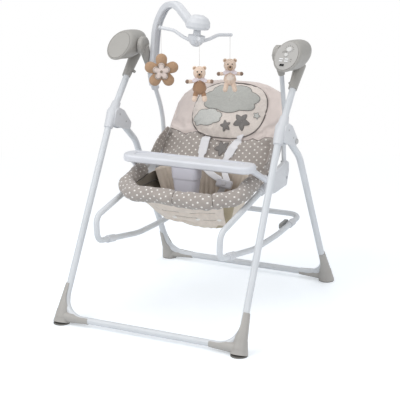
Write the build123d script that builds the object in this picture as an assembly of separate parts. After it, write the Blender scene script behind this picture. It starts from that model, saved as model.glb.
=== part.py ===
from build123d import *
from math import acos, cos, radians, sin, sqrt, tan
import os

# Baby swing: an A-frame stand, two heads with a swing axle, a seat that hangs between them on two
# bent arms, a rocker under the seat, a tray with a post and a hanging toy mobile.
# Millimetres, floor at z = 0, +X to the right seen from the front, +Y to the rear, +Z up.

os.makedirs("parts", exist_ok=True)

# Stand
TUBE = 22.0
WALL = 1.0
FOOT_X = 316.0
FOOT_Y = 378.0
BAR_Z = 22.0
BAR_BEND = 75.0
BOOT_TOP = 118.0
BOOT_WING = 100.0
JOINT_Z = 250.0
HUB_X = 305.5
FOLD_Y = 5.0
FOLD_Z = 600.0
FRONT_TOP = (-56.0, 620.0)
REAR_BEND = (115.22, 510.0)
SOCKET_END = (92.0, 786.0)

# Heads and swing axle
HEAD_X = 301.0
HEAD_FACE = (3.0, 857.0)
HEAD_TILT = 42.0
AXLE_Y = 70.0
AXLE_Z = 850.0
AXLE_D = 10.0

# Swing arms, seat frame and rocker
ARM_D = 15.0
HUB_IN = 231.0
HUB_OUT = 247.0
SEAT_X = 205.0
SEAT_TUBE = 16.0
RIM_R = 25.0
RIM_Z0 = 449.0
RIM_SLOPE = 0.155
ROCKER_X = 217.0
ROCKER_D = 19.0
RECLINE_Y = 131.0
RECLINE_Z = 415.0
BACK_LEAN = 50.6
BACK_FOOT = (172.0, 549.0)

# Tray
TRAY_Z = 493.0
TRAY_THICK = 24.0
TRAY_Y = -84.0
PULL = (0.0, -0.74314, 0.66913)

# Mobile
SPIN_X = -3.5
SPIN_Y = -12.0
SPIN_Z = 910.5
SPIN_TILT = 6.6
SPIN_R = 130.0
STRING_D = 1.2


def vec(p):
    return Vector(*p)


def bent(points, radius):
    """A wire of straight runs joined by arcs of one bend radius, or of one radius per corner."""
    edges = []
    start = vec(points[0])
    for i in range(1, len(points) - 1):
        r = radius[i - 1] if isinstance(radius, (list, tuple)) else radius
        corner = vec(points[i])
        u = (vec(points[i - 1]) - corner).normalized()
        v = (vec(points[i + 1]) - corner).normalized()
        half = acos(max(-1.0, min(1.0, u.dot(v)))) / 2
        p = corner + u * (r / tan(half))
        q = corner + v * (r / tan(half))
        m = corner + (u + v).normalized() * (r / sin(half) - r)
        if (p - start).length > 0.01:
            edges.append(Line(start, p))
        edges.append(ThreePointArc(p, m, q))
        start = q
    edges.append(Line(start, vec(points[-1])))
    return Wire(edges)


def rod(path, r):
    return sweep(Plane(origin=path @ 0, z_dir=path % 0) * Circle(r), path=path)


def tube(path, od, wall=WALL):
    return rod(path, od / 2) - rod(path, od / 2 - wall)


def cyl(a, b, r):
    """A round bar of radius r from point a to point b."""
    a = vec(a)
    b = vec(b)
    return Solid.make_cylinder(r, (b - a).length, Plane(origin=a, z_dir=b - a))


def cone(a, b, r1, r2):
    a = vec(a)
    b = vec(b)
    return Solid.make_cone(r1, r2, (b - a).length, Plane(origin=a, z_dir=b - a))


def plate(outline, x0, x1, corner=0.0):
    """A flat plate cut to an outline of (y, z) points, from x0 to x1."""
    face = make_face(Polyline(*[(y, z) for y, z in outline], close=True))
    if corner:
        face = fillet(face.vertices(), corner)
    flat = Plane(origin=(x0, 0, 0), x_dir=(0, 1, 0), z_dir=(1, 0, 0))
    return extrude(flat * face, x1 - x0)


def egg(base, axis, length, r, fat=0.45):
    """A body turned from one arc: swells to radius r and closes at both ends."""
    x_dir = Vector(1, 0, 0)
    if abs(vec(axis).normalized().X) > 0.9:
        x_dir = Vector(0, 1, 0)
    lower = ThreePointArc((0, 0), (r * 0.76, length * fat * 0.34), (r, length * fat))
    upper = ThreePointArc((r, length * fat), (r * 0.74, fat * length + length * (1 - fat) * 0.7), (0, length))
    profile = make_face(Wire([lower, upper, Line((0, length), (0, 0))]))
    turned = revolve(Plane.XZ * profile, Axis.Z)
    return Plane(origin=vec(base), x_dir=x_dir.cross(vec(axis)), z_dir=vec(axis)) * turned


def mirrored(part):
    return mirror(part, Plane.YZ)


def pair(part):
    return Compound(children=[s for half in (part, mirrored(part)) for s in half.solids()])


def save(part, name):
    solids = part.solids()
    shape = solids[0] if len(solids) == 1 else Compound(children=list(solids))
    export_step(shape, f"parts/{name}.step")


# Stand

def lean_x(z):
    return FOOT_X - (FOOT_X - HUB_X) * (z - BAR_Z) / (FOLD_Z - BAR_Z)


def front_y(z):
    return -FOOT_Y + (FOOT_Y + FRONT_TOP[0]) * (z - BAR_Z) / (FRONT_TOP[1] - BAR_Z)


def rear_y(z):
    return FOOT_Y - (FOOT_Y - REAR_BEND[0]) * (z - BAR_Z) / (REAR_BEND[1] - BAR_Z)


def floor_bar_path(leg_y):
    """The low U of one frame: up one leg, across near the floor, up the other leg."""
    y_foot = leg_y(BAR_Z)
    top = (lean_x(JOINT_Z), leg_y(JOINT_Z), JOINT_Z)
    foot = (FOOT_X, y_foot, BAR_Z)
    return bent([top, foot, (-foot[0], foot[1], foot[2]), (-top[0], top[1], top[2])], BAR_BEND)


def floor_bar(leg_y):
    body = tube(floor_bar_path(leg_y), TUBE)
    a = vec((lean_x(JOINT_Z), leg_y(JOINT_Z), JOINT_Z))
    b = vec((lean_x(JOINT_Z + 40), leg_y(JOINT_Z + 40), JOINT_Z + 40))
    d = (b - a).normalized()
    spigot = cyl(a - d * 12, a + d * 38, TUBE / 2 - WALL - 0.05) - cyl(a - d * 13, a + d * 39, 8.4)
    ring = cyl(a - d * 12, a - d * 2, TUBE / 2 - WALL + 0.2) - cyl(a - d * 13, a, 8.4)
    joint = spigot + ring
    return body + joint + mirrored(joint)


def front_leg():
    low = (lean_x(JOINT_Z), front_y(JOINT_Z), JOINT_Z)
    high = (lean_x(608), front_y(608), 608.0)
    return tube(Wire([Line(low, high)]), TUBE)


def rear_leg_path():
    low = (lean_x(JOINT_Z), rear_y(JOINT_Z), JOINT_Z)
    mid = (HUB_X + 1.6, REAR_BEND[0], REAR_BEND[1])
    d = (vec((0, REAR_BEND[0], REAR_BEND[1])) - vec((0, FOLD_Y, FOLD_Z))).normalized()
    top = (HUB_X, FOLD_Y + d.Y * 16, FOLD_Z + d.Z * 16)
    return bent([low, mid, top], 110)


def rear_leg():
    path = rear_leg_path()
    pivot = (HUB_X, FOLD_Y, FOLD_Z)
    knuckle = cyl((HUB_X - 11, FOLD_Y, FOLD_Z), (HUB_X + 11, FOLD_Y, FOLD_Z), 15)
    body = tube(path, TUBE) + knuckle
    d = (path @ 1 - path @ 0.9).normalized()
    body += cyl(path @ 1 - d * 6, vec(pivot), 10.3)
    return body - cyl((HUB_X - 12, FOLD_Y, FOLD_Z), (HUB_X + 12, FOLD_Y, FOLD_Z), 5.05)


def upper_path():
    low = (HUB_X, -44.0, 631.0)
    high = (HEAD_X + 1.5, SOCKET_END[0], SOCKET_END[1])
    return Wire([Line(low, high)])


def side_hub():
    """The Y connector: a sleeve for the front leg, one for the upper tube, two cheeks for the rear leg."""
    low = (lean_x(590), front_y(590), 590.0)
    knee = (HUB_X, -50.0, 626.0)
    top = (HUB_X - 0.6, -14.0, 665.0)
    body = cone(low, knee, 15.0, 17.5) + cone(knee, top, 17.5, 14.5)
    body += Pos(*knee) * Sphere(17.5)
    outline = [(-66, 598), (-46, 645), (-26, 652), (8, 636), (26, 616), (54, 586), (46, 565), (8, 571)]
    for x0, x1 in ((HUB_X + 12.3, HUB_X + 19.0), (HUB_X - 19.0, HUB_X - 12.3)):
        body += fillet(plate(outline, x0, x1, 9).edges().filter_by(GeomType.LINE, reverse=True), 1.5)
    body += cyl((HUB_X - 18, FOLD_Y, FOLD_Z), (HUB_X + 18, FOLD_Y, FOLD_Z), 5.0)
    bore_low = vec((lean_x(570), front_y(570), 570.0))
    bore_top = vec((lean_x(608), front_y(608), 608.0))
    body -= cyl(bore_low, bore_top, TUBE / 2 + 0.05)
    up = upper_path()
    body -= cyl(up @ 0, up @ 1, TUBE / 2 + 0.05)
    body -= cyl((HUB_X + 12, 38, 580), (HUB_X + 20, 38, 580), 8.2)
    for y, z in ((-24, 628), (16, 596)):
        body -= cyl((HUB_X + 16, y, z), (HUB_X + 20, y, z), 3.05)
        body -= cyl((HUB_X - 20, y, z), (HUB_X - 16, y, z), 3.05)
    return body


def hub_screws():
    out = []
    for y, z in ((-24, 628), (16, 596)):
        for side in (1, -1):
            head = cyl((HUB_X + side * 16, y, z), (HUB_X + side * 19.4, y, z), 3.0)
            slot = Pos(HUB_X + side * 19.4, y, z) * Box(1.6, 4.2, 0.9)
            slot += Pos(HUB_X + side * 19.4, y, z) * Box(1.6, 0.9, 4.2)
            out.append(head - slot)
    return Compound(children=[s for o in out for s in o.solids()])


def fold_button():
    body = cyl((HUB_X + 15.6, 38, 580), (HUB_X + 25, 38, 580), 8.1)
    return fillet(body.edges().sort_by(Axis.X)[-1], 2.0)


def foot(leg_y):
    """A moulded boot under one corner of the floor bar: tall cone, wing along the bar, round sole.

    The boot is a channel, open on the inner side of the bend, where the tube shows.
    """
    s = 1 if leg_y(BAR_Z) > 0 else -1
    corner = vec((FOOT_X, leg_y(BAR_Z), BAR_Z))
    up = vec((lean_x(BOOT_TOP), leg_y(BOOT_TOP), BOOT_TOP))
    sole_y = leg_y(BAR_Z) + s * 3
    body = cone((FOOT_X, sole_y, 3), (FOOT_X, sole_y - s * 14, 44), 28, 21)
    body += cone(corner - (up - corner) * 0.05, up, 23, 13.6)
    body += cone(corner, corner + Vector(-BOOT_WING, 0, 0), 18.5, 12.6)
    lift = (up - corner).normalized()
    plane = Plane(origin=corner, x_dir=(-1, 0, 0), z_dir=Vector(-1, 0, 0).cross(lift))
    lip = 5.0
    opening = RectangleRounded(400, 400, BAR_BEND - lip)
    body -= extrude(plane * Pos(200 + lip, 200 + lip) * opening, 60, both=True)
    body -= rod(floor_bar_path(leg_y), TUBE / 2 + 0.05)
    body -= Pos(FOOT_X, sole_y, -50) * Box(160, 160, 106)
    return body


def foot_pad(leg_y):
    s = 1 if leg_y(BAR_Z) > 0 else -1
    return cyl((FOOT_X, leg_y(BAR_Z) + s * 3, 0), (FOOT_X, leg_y(BAR_Z) + s * 3, 3), 27)


# Heads

def head_plane(depth, rise):
    """A section plane of the head, facing forward and up, set back by depth and raised by rise."""
    t = radians(HEAD_TILT)
    n = Vector(0, -cos(t), sin(t))
    u = Vector(0, sin(t), cos(t))
    o = vec((HEAD_X, HEAD_FACE[0], HEAD_FACE[1])) - n * depth + u * rise
    return Plane(origin=o, x_dir=(1, 0, 0), z_dir=n)


HEAD_SECTIONS = [(0, 0, 40, 55), (5, 3, 43.5, 58.5), (16, 12, 45, 60.5), (52, 40, 45, 60),
                 (84, 64, 41, 54), (101, 76, 32, 43), (110, 82, 18, 26)]


def head_shape(shrink):
    faces = []
    for depth, rise, b, a in HEAD_SECTIONS:
        faces.append(head_plane(depth, rise) * Ellipse(b - shrink, a - shrink))
    return loft(faces)


def head_housing():
    shell = head_shape(0)
    socket_low = (HEAD_X + 2.5, 52.0, 745.0)
    socket_top = (HEAD_X + 1.2, 119.0, 813.0)
    shell += cone(socket_low, socket_top, 14.2, 19.0)
    shell += cyl((HEAD_X - 19, 74, 757), (HEAD_X - 6, 78, 764), 5.0)
    cavity = head_shape(3.0)
    up = upper_path()
    guard = cyl((HEAD_X + 2, 80, 772), (HEAD_X + 1.5, 106, 800), 15.0)
    shell = shell - (cavity - guard)
    boss = cyl((HEAD_X - 47, AXLE_Y, AXLE_Z), (HEAD_X - 26, AXLE_Y, AXLE_Z), 17)
    shell += boss
    shell -= cyl((HEAD_X - 48, AXLE_Y, AXLE_Z), (HEAD_X - 20, AXLE_Y, AXLE_Z), 8.0)
    shell -= cyl(up @ 0, up @ 1, TUBE / 2 + 0.05)
    shell -= head_plane(-1, 0) * Pos(0, 0, -6) * extrude(Ellipse(37.1, 52.1), 8)
    return shell


def axle_bush():
    bush = cyl((HEAD_X - 47, AXLE_Y, AXLE_Z), (HEAD_X - 26, AXLE_Y, AXLE_Z), 8.0)
    return bush - cyl((HEAD_X - 48, AXLE_Y, AXLE_Z), (HEAD_X - 20, AXLE_Y, AXLE_Z), AXLE_D / 2 + 0.05)


def head_cover():
    lid = head_plane(4, 0) * extrude(Ellipse(37, 52), 4.5)
    return lid + head_plane(0.5, 0) * extrude(Ellipse(35.5, 50.5), 1.2)


BUTTONS = {"speed_button": (3, 24, 9.0), "music_button": (-2, 4, 6.5)}


def control_panel():
    lid = head_plane(4, 0) * extrude(Ellipse(37, 52), 5.5)
    for x, u, r in BUTTONS.values():
        lid -= head_plane(5, 0) * Pos(x, u, 0) * extrude(Circle(r + 0.3), 8)
    for u in (-12, -20):
        for x in (-14, 4):
            lid += head_plane(-1.5, 0) * Pos(x, u, 0) * extrude(RectangleRounded(13, 5, 2), 0.8)
    lid += head_plane(-1.5, 0) * Pos(-6, -35, 0) * extrude(RectangleRounded(15, 9, 2), 1.0)
    return lid


def panel_button(name):
    x, u, r = BUTTONS[name]
    body = head_plane(4.5, 0) * Pos(x, u, 0) * extrude(Circle(r), 8.5)
    return fillet(body.edges().sort_by(Axis((0, 0, 0), head_plane(0, 0).z_dir))[-1], 1.5)


def drive_unit():
    """Coil that pushes the magnet on the axle, on its board, inside the right head."""
    board = head_plane(12, 0) * Pos(0, 6, 0) * extrude(RectangleRounded(56, 70, 6), 1.6)
    post = head_plane(34, 0) * Pos(14, 22, 0) * extrude(RectangleRounded(12, 12, 2), 22)
    coil = head_plane(46, 0) * Pos(14, 22, 0) * extrude(Circle(15) - Circle(5), 12)
    return board + post + coil


# Swing

def swing_axle():
    shaft = cyl((236, AXLE_Y, AXLE_Z), (HEAD_X - 20, AXLE_Y, AXLE_Z), AXLE_D / 2)
    magnet = cyl((HEAD_X - 25, AXLE_Y, AXLE_Z), (HEAD_X - 17, AXLE_Y, AXLE_Z), 15)
    return shaft + magnet


ARM_POINTS = [(248.0, 86.0, 822.0), (231.0, 174.0, 612.0), (226.0, 176.0, 528.0), (239.0, 153.0, 446.0)]


def arm_path():
    return bent(ARM_POINTS, [260, 120])


def arm_elbow():
    """Moulded knee that keys the axle to the bent arm."""
    body = cyl((HEAD_X - 62, AXLE_Y, AXLE_Z), (HEAD_X - 48.5, AXLE_Y, AXLE_Z), 30)
    body += cone((HEAD_X - 66, AXLE_Y, AXLE_Z), (HEAD_X - 62, AXLE_Y, AXLE_Z), 25.5, 30)
    path = arm_path()
    top = path @ 0
    d = path % 0
    neck = cone((243.2, AXLE_Y, AXLE_Z), top + d * 44, 19, 11.0)
    body += neck - Pos(HEAD_X - 38.5, AXLE_Y, AXLE_Z) * Box(20, 52, 52)
    body -= cyl(top, top + d * 60, ARM_D / 2 + 0.05)
    body -= cyl((236, AXLE_Y, AXLE_Z), (HEAD_X - 48, AXLE_Y, AXLE_Z), AXLE_D / 2 + 0.03)
    return body


def swing_arm():
    return tube(arm_path(), ARM_D)


TRAY_END = (239.0, -1.2, 450.4)


def seat_hub():
    """Side bracket that gathers the arm, the rocker leg, the seat frame, the back pivot and the tray."""
    outline = [(-2, 402), (-2, 448), (34, 462), (140, 478), (176, 478), (178, 446), (160, 398), (60, 394)]
    body = plate(outline, HUB_IN, HUB_OUT, 10)
    body = fillet(body.edges().filter_by(GeomType.LINE, reverse=True), 2.5)
    path = arm_path()
    body += cyl(path @ 1 + vec((0, -2, -8)), path @ 0.91, 11.0)
    leg = rocker_leg_path()
    d = leg % 0
    body += cyl(leg @ 0 - d * 6, leg @ 0 + d * 38, 13.5)
    body += cyl((HUB_IN - 41, RECLINE_Y, RECLINE_Z), (HUB_IN + 4, RECLINE_Y, RECLINE_Z), 6.0)
    body -= rod(path, ARM_D / 2 + 0.03)
    body -= cyl(leg @ 0, leg @ 0 + d * 60, ROCKER_D / 2 + 0.03)
    e = vec(TRAY_END)
    body -= cyl(e, e - vec(PULL) * 22, 4.1)
    body -= cyl((HUB_IN - 1, 158, 424), (HUB_OUT + 4, 158, 424), 6.0)
    return body


def rocker_leg_path():
    x = ROCKER_X - 1
    points = [(x + 5, 30.0, 417.0), (x + 3, -309.0, 352.0), (x, -309.0, 271.55), (x, -226.0, 257.19)]
    return bent(points, 34)


def rocker_leg():
    return tube(rocker_leg_path(), ROCKER_D)


def runner_path():
    x = ROCKER_X - 1
    half = [(x, -225.5, 257.1), (x, -40.0, 225.0), (x, 150.0, 220.0), (x, 376.0, 233.0)]
    other = [(-p[0], p[1], p[2]) for p in reversed(half)]
    return bent(half + other, [500, 500, 46, 46, 500, 500])


def rocker_runner():
    return tube(runner_path(), ROCKER_D)


def rocker_sleeves():
    leg = rocker_leg_path()
    end = leg @ 1
    d = leg % 1
    joint = cyl(end - d * 21, end + d * 21, 12.5) - cyl(end - d * 22, end + d * 22, ROCKER_D / 2 + 0.03)
    run = runner_path()
    t = 0.318
    c = run @ t
    d = run % t
    clip = cyl(c - d * 17, c + d * 17, 12.5) - cyl(c - d * 18, c + d * 18, ROCKER_D / 2 + 0.03)
    pin = cyl(c + vec((-11.2, 0, 0)), c + vec((-30, 0, 0)), 4.0)
    return joint + clip + pin


def kickstand():
    """Flip-down foot on the inner side of a runner that stops the seat from rocking."""
    c = runner_path() @ 0.318
    d = runner_path() % 0.318
    x0 = c.X - 26
    start = Plane(origin=(x0, c.Y, c.Z), x_dir=(0, d.Y, d.Z), z_dir=(1, 0, 0))
    face = Pos(-18, 0) * RectangleRounded(62, 19, 7)
    body = extrude(start * face, 11)
    return body - cyl((x0 - 2, c.Y, c.Z), (x0 + 14, c.Y, c.Z), 4.1)


def rim_z(y):
    return RIM_Z0 + RIM_SLOPE * y


def rim_points(y_end):
    half = [(SEAT_X, y_end), (SEAT_X, -125.0), (112.0, -212.0)]
    half = half + [(-x, y) for x, y in reversed(half)]
    return [(x, y, rim_z(y)) for x, y in half]


def seat_frame_path():
    inner = rim_points(27.0)
    points = [(HUB_IN, 27.0, rim_z(27.0))] + inner + [(-HUB_IN, 27.0, rim_z(27.0))]
    return bent(points, [18, 85, 85, 85, 85, 18])


def seat_frame():
    return tube(seat_frame_path(), SEAT_TUBE)


def rim_solid(r, y_end=-14.0):
    return rod(bent(rim_points(y_end), 85), r)


def rim_roll():
    """Padded roll round the front of the seat, drawn in at its two sewn seams."""
    roll = rim_solid(RIM_R)
    for x in (-52, 58):
        ring = Pos(x, -212, rim_z(-212)) * Rot(0, 90, 0) * Torus(RIM_R + 5, 6)
        roll -= ring
    return roll - rod(seat_frame_path(), SEAT_TUBE / 2 + 0.3)


BUCKET = [(396, 178, -190, 86, 84), (352, 150, -132, 100, 74), (312, 126, -72, 110, 64),
          (278, 98, -22, 112, 50), (256, 68, 10, 104, 34)]


def bucket_shape(inset, floor):
    faces = []
    for z, hx, y0, y1, r in BUCKET:
        level = z
        if z == BUCKET[0][0]:
            level = z + (2 if inset else 0)
        if z == BUCKET[-1][0]:
            level = z + floor
        size = (2 * (hx - inset), y1 - y0 - 2 * inset)
        faces.append(Plane(origin=(0, (y0 + y1) / 2, level)) * RectangleRounded(*size, r - inset / 2))
    return loft(faces, ruled=True)


def seat_bucket():
    """Deep fabric sling under the rim, open at the top."""
    body = bucket_shape(0, 0) - bucket_shape(11, 11)
    return body - rim_solid(RIM_R + 0.3)


def seat_pad():
    """Loose cushion in the bottom of the sling, crowned and drawn in at its edge."""
    faces = []
    for z, w, d, r in ((267, 108, 62, 26), (278, 150, 92, 40), (294, 182, 112, 46), (306, 174, 104, 44),
                       (314, 128, 68, 30)):
        faces.append(Plane(origin=(0, 54, z)) * RectangleRounded(w, d, r))
    return loft(faces, ruled=True) & bucket_shape(11.4, 11.4)


def side_wing():
    outline = [(20, 466), (62, 495), (115, 541), (164, 572), (180, 557), (166, 522), (146, 490), (112, 472)]
    body = plate(outline, 212, 216, 7)
    for y, z in ((56, 476), (128, 486)):
        body += cyl((214, y, z - 22), (HUB_IN, y, z - 22), 3) + cyl((214, y, z - 22), (214, y, z + 6), 1.9)
    return body


# Backrest

LEAN = radians(BACK_LEAN)
BACK_UP = Vector(0, cos(LEAN), sin(LEAN))
BACK_FRONT = Vector(0, -sin(LEAN), cos(LEAN))


def back_point(x, t, n):
    """A point of the backrest: across x, up the lean t, forward of its face n."""
    return vec((x, BACK_FOOT[0], BACK_FOOT[1])) + BACK_UP * t + BACK_FRONT * n


def lens(t, half, front, rear, edge):
    """One cushion section: crowned front, flatter rear, thin drawn-in sides."""
    plane = Plane(origin=back_point(0, t, 0), x_dir=(1, 0, 0), z_dir=BACK_UP)
    sign = 1 if (plane.y_dir.dot(BACK_FRONT)) > 0 else -1
    top = ThreePointArc((-half, sign * (edge - 22)), (0, sign * front), (half, sign * (edge - 22)))
    side_r = Line((half, sign * (edge - 22)), (half, sign * (-edge - 22)))
    low = ThreePointArc((half, sign * (-edge - 22)), (0, sign * -rear), (-half, sign * (-edge - 22)))
    side_l = Line((-half, sign * (-edge - 22)), (-half, sign * (edge - 22)))
    return plane * make_face(Wire([top, side_r, low, side_l]))


BACK_SECTIONS = [(-168, 196, -6, 32, 4), (-150, 205, 0, 40, 9), (-60, 211, 5, 46, 12), (30, 210, 6, 46, 12),
                 (110, 207, 6, 46, 12), (150, 194, 4, 44, 10), (185, 160, 0, 41, 8), (206, 115, -6, 36, 5),
                 (216, 76, -13, 31, 3)]


def back_cushion():
    sections = [lens(*row) for row in BACK_SECTIONS]
    return loft(sections, ruled=True)


def back_frame_path():
    base = (vec((0, RECLINE_Y, RECLINE_Z)) - back_point(0, 0, 0)).dot(BACK_UP)
    n = (vec((0, RECLINE_Y, RECLINE_Z)) - back_point(0, 0, 0)).dot(BACK_FRONT)
    points = [(199, base), (196, 120), (120, 190), (-120, 190), (-196, 120), (-199, base)]
    return bent([tuple(back_point(x, t, n)) for x, t in points], 75)


def back_frame():
    body = tube(back_frame_path(), SEAT_TUBE)
    eye = cyl((190, RECLINE_Y, RECLINE_Z), (208, RECLINE_Y, RECLINE_Z), 11)
    for end in (eye, mirrored(eye)):
        body += end
    hole = cyl((180, RECLINE_Y, RECLINE_Z), (210, RECLINE_Y, RECLINE_Z), 6.06)
    return body - hole - mirrored(hole)


def head_pillow():
    """Head cushion laid on the back: crowned middle, drawn-in edge."""
    faces = []
    for n, w, h, r in ((6, 226, 168, 70), (16, 262, 204, 92), (27, 256, 198, 90), (38, 200, 144, 64)):
        plane = Plane(origin=back_point(0, 84, n), x_dir=(1, 0, 0), z_dir=BACK_FRONT)
        faces.append(plane * RectangleRounded(w, h, r))
    return loft(faces, ruled=True) - back_cushion()


def shoulder_strap(x, slant):
    """Webbing with a sewn pad, from under the head cushion down to the lap."""
    top = back_point(x, 2, 6.5)
    low = back_point(x + slant, -100, 6.5)
    d = low - top
    plane = Plane(origin=top, x_dir=d, z_dir=BACK_FRONT)
    web = extrude(plane * Pos(d.length / 2, 0) * Rectangle(d.length, 22), 2)
    pad = extrude(plane * Pos(d.length * 0.45, 0) * RectangleRounded(d.length * 0.6, 30, 8), 6)
    return (web + pad) - head_pillow()


def shoulder_straps():
    left = shoulder_strap(-58, 14)
    right = shoulder_strap(58, -14)
    return Compound(children=[s for o in (left, right) for s in o.solids()])


BUCKLE = (38.0, 6.0, 318.0)


def harness_buckle():
    plane = Plane(origin=BUCKLE, x_dir=(1, 0, 0.05), z_dir=(0.0, -0.72, 0.7))
    body = extrude(plane * RectangleRounded(44, 38, 9), 13)
    body = fillet(body.edges().group_by(Axis((0, 0, 0), (0, -0.72, 0.7)))[-1], 3)
    return body + extrude(plane.offset(13) * Circle(9), 2)


def lap_strap(side):
    """Lap webbing from the bucket wall to the buckle."""
    start = vec((side * 122.0, 48.0, 319.0))
    end = vec(BUCKLE) + vec((side * 23.0, 4.0, 3.0))
    d = end - start
    up = Vector(0, -0.25, 0.97)
    plane = Plane(origin=start, x_dir=d, z_dir=up - d * (up.dot(d) / d.dot(d)))
    return extrude(plane * Pos(d.length / 2, 0) * Rectangle(d.length, 24), 2.2) & bucket_shape(11.1, 11.1)


def harness_straps():
    return Compound(children=[s for k in (-1, 1) for s in lap_strap(k).solids()])


# Tray

def tray():
    slab = Plane(origin=(0, TRAY_Y, TRAY_Z)) * extrude(RectangleRounded(470, 84, 40), TRAY_THICK)
    slab = fillet(slab.edges().group_by(Axis.Z)[-1], 8)
    slab = fillet(slab.edges().group_by(Axis.Z)[0], 6)
    dish = Plane(origin=(0, TRAY_Y, TRAY_Z + TRAY_THICK - 3)) * extrude(RectangleRounded(392, 56, 26), 10)
    slab -= dish
    e = vec(TRAY_END)
    inner = vec((216, TRAY_Y, TRAY_Z + 11))
    arm = cone(e, inner, 9.0, 11.0) + cyl(e, e - vec(PULL) * 20, 4.0)
    heel = Plane(origin=e, z_dir=vec(PULL)) * extrude(Circle(9.0), 12)
    arm += heel
    arm -= rim_solid(RIM_R + 0.6, -2.0)
    return slab + arm + mirrored(arm)


def tray_post():
    faces = []
    for z, w, d, r in ((TRAY_Z, 96, 58, 18), (458, 92, 55, 17), (452, 86, 52, 17), (352, 66, 44, 16)):
        faces.append(Plane(origin=(0, -98, z)) * RectangleRounded(w, d, r))
    return loft(faces, ruled=True)


# Mobile

TILT = radians(SPIN_TILT)
SIGHT = Vector(0.898, 0.44, 0)
SPIN_AXIS = SIGHT * sin(TILT) + Vector(0, 0, cos(TILT))
SPIN_E1 = SIGHT * cos(TILT) - Vector(0, 0, sin(TILT))
SPIN_E2 = SPIN_AXIS.cross(SPIN_E1)
SPIN_O = Vector(SPIN_X, SPIN_Y, SPIN_Z)


def spin(r, angle, h):
    """A point of the mobile: out r at an angle, h above the plane of the arm tips."""
    a = radians(angle)
    return SPIN_O + SPIN_E1 * (r * cos(a)) + SPIN_E2 * (r * sin(a)) + SPIN_AXIS * h


def turned(points, h0):
    """A body turned about the mobile's axis from (radius, height) points."""
    face = make_face(Polyline(*points, close=True))
    body = revolve(Plane.XZ * face, Axis.Z)
    return Plane(origin=SPIN_O + SPIN_AXIS * h0, x_dir=SPIN_E1, z_dir=SPIN_AXIS) * body


ARCH_DIR = Vector(0.8985, -0.439, 0)
ARCH_FOOT = Vector(-233.0, 100.0, 0)
ARCH = [(11, 742), (36, 920), (92, 992), (150, 997), (222, 946)]


def arch_path():
    points = [tuple(ARCH_FOOT + ARCH_DIR * s + Vector(0, 0, z)) for s, z in ARCH]
    return bent(points, [150, 75, 55])


def arm_at(z):
    """Centre of the left swing arm at a height on its straight upper run."""
    a = vec(ARM_POINTS[0])
    b = vec(ARM_POINTS[1])
    k = (z - a.Z) / (b.Z - a.Z)
    p = a + (b - a) * k
    return Vector(-p.X, p.Y, p.Z)


def mobile_clamp():
    low = arm_at(694)
    high = arm_at(742)
    block = cyl(low, high, 13.5)
    path = arch_path()
    foot = path @ 0
    block += cone(foot - Vector(0, 0, 30), foot + Vector(0, 0, 12), 13, 18.5)
    mid = arm_at(716)
    block += cyl(mid, foot - Vector(0, 0, 16), 9.0)
    block -= cyl(arm_at(680), arm_at(760), ARM_D / 2 + 0.05)
    plane = Plane(origin=foot, x_dir=ARCH_DIR, z_dir=path % 0)
    return block - extrude(plane * RectangleRounded(22.1, 29.1, 6), 60)


def mobile_arm():
    """Arched plastic arm with a hollow channel on its underside."""
    path = arch_path()
    plane = Plane(origin=path @ 0, x_dir=ARCH_DIR, z_dir=path % 0)
    body = sweep(plane * RectangleRounded(22, 29, 6), path=path)
    groove = sweep(plane * Pos(8.5, 0) * Rectangle(9, 19), path=path)
    return body - groove - dome_shape()


DOME = [(0, 13), (11, 13), (12, 17), (35, 18), (40, 26), (39, 40), (31, 53), (17, 61), (0, 63)]


def dome_shape():
    return turned(DOME, 0)


def mobile_dome():
    """Motor housing of the mobile: a hollow mushroom with a hole for the spindle."""
    inner = turned([(0, 16), (9, 16), (9, 20.5), (33, 21), (37, 27), (36, 39), (29, 50), (16, 58), (0, 60)], 0)
    bore = turned([(0, 10), (4.1, 10), (4.1, 20), (0, 20)], 0)
    return dome_shape() - inner - bore


def mobile_rotor():
    """Bowl, neck and three curved arms that turn under the motor."""
    bowl = [(0, -40), (9, -39), (20, -30), (26, -16), (28, -4), (22, -3), (13, -2), (11.5, 12.4), (4, 12.4),
            (4, 27), (0, 27)]
    body = turned(bowl, 0)
    for angle in SPIN_ANGLES:
        path = bent([tuple(spin(r, angle, h)) for r, h in ((18, -24), (52, -14), (84, 0), (SPIN_R + 4, 1))], 40)
        body += rod(path, 5.6)
        body += Pos(*(path @ 1)) * Sphere(6.2)
    return body


SPIN_ANGLES = (150 + 3.5, 30 + 3.5, -90 + 3.5)
TOYS = {"flower": (SPIN_ANGLES[0], 78.3), "bear": (SPIN_ANGLES[1], 72.3), "doll": (SPIN_ANGLES[2], 76.3)}
FACE = Vector(0.44, -0.898, 0)
WIDE = Vector(0.898, 0.44, 0)
UP = Vector(0, 0, 1)


def hang(name):
    angle, length = TOYS[name]
    p = spin(SPIN_R + 1, angle, 0)
    return Vector(p.X, p.Y, p.Z - 5.3), length


def toy_string(name):
    top, length = hang(name)
    return cyl(top, top - UP * length, STRING_D / 2) - mobile_rotor()


def toy_top(name):
    top, length = hang(name)
    return top - UP * length


def at(base, w, f, u):
    return base + WIDE * w + FACE * f + UP * u


def flower():
    """Stuffed felt flower as a plain five-lobed solid."""
    top = toy_top("flower")
    mid = top - UP * 57
    outline = Circle(24)
    for k in range(5):
        a = radians(90 + 72 * k)
        outline += Pos(38 * cos(a), 38 * sin(a)) * Circle(19.4)
    rear_face = Plane(origin=mid - FACE * 15, x_dir=WIDE, z_dir=FACE)
    return extrude(rear_face * outline, 30) - cyl(top, top + UP * 30, 4)


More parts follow.
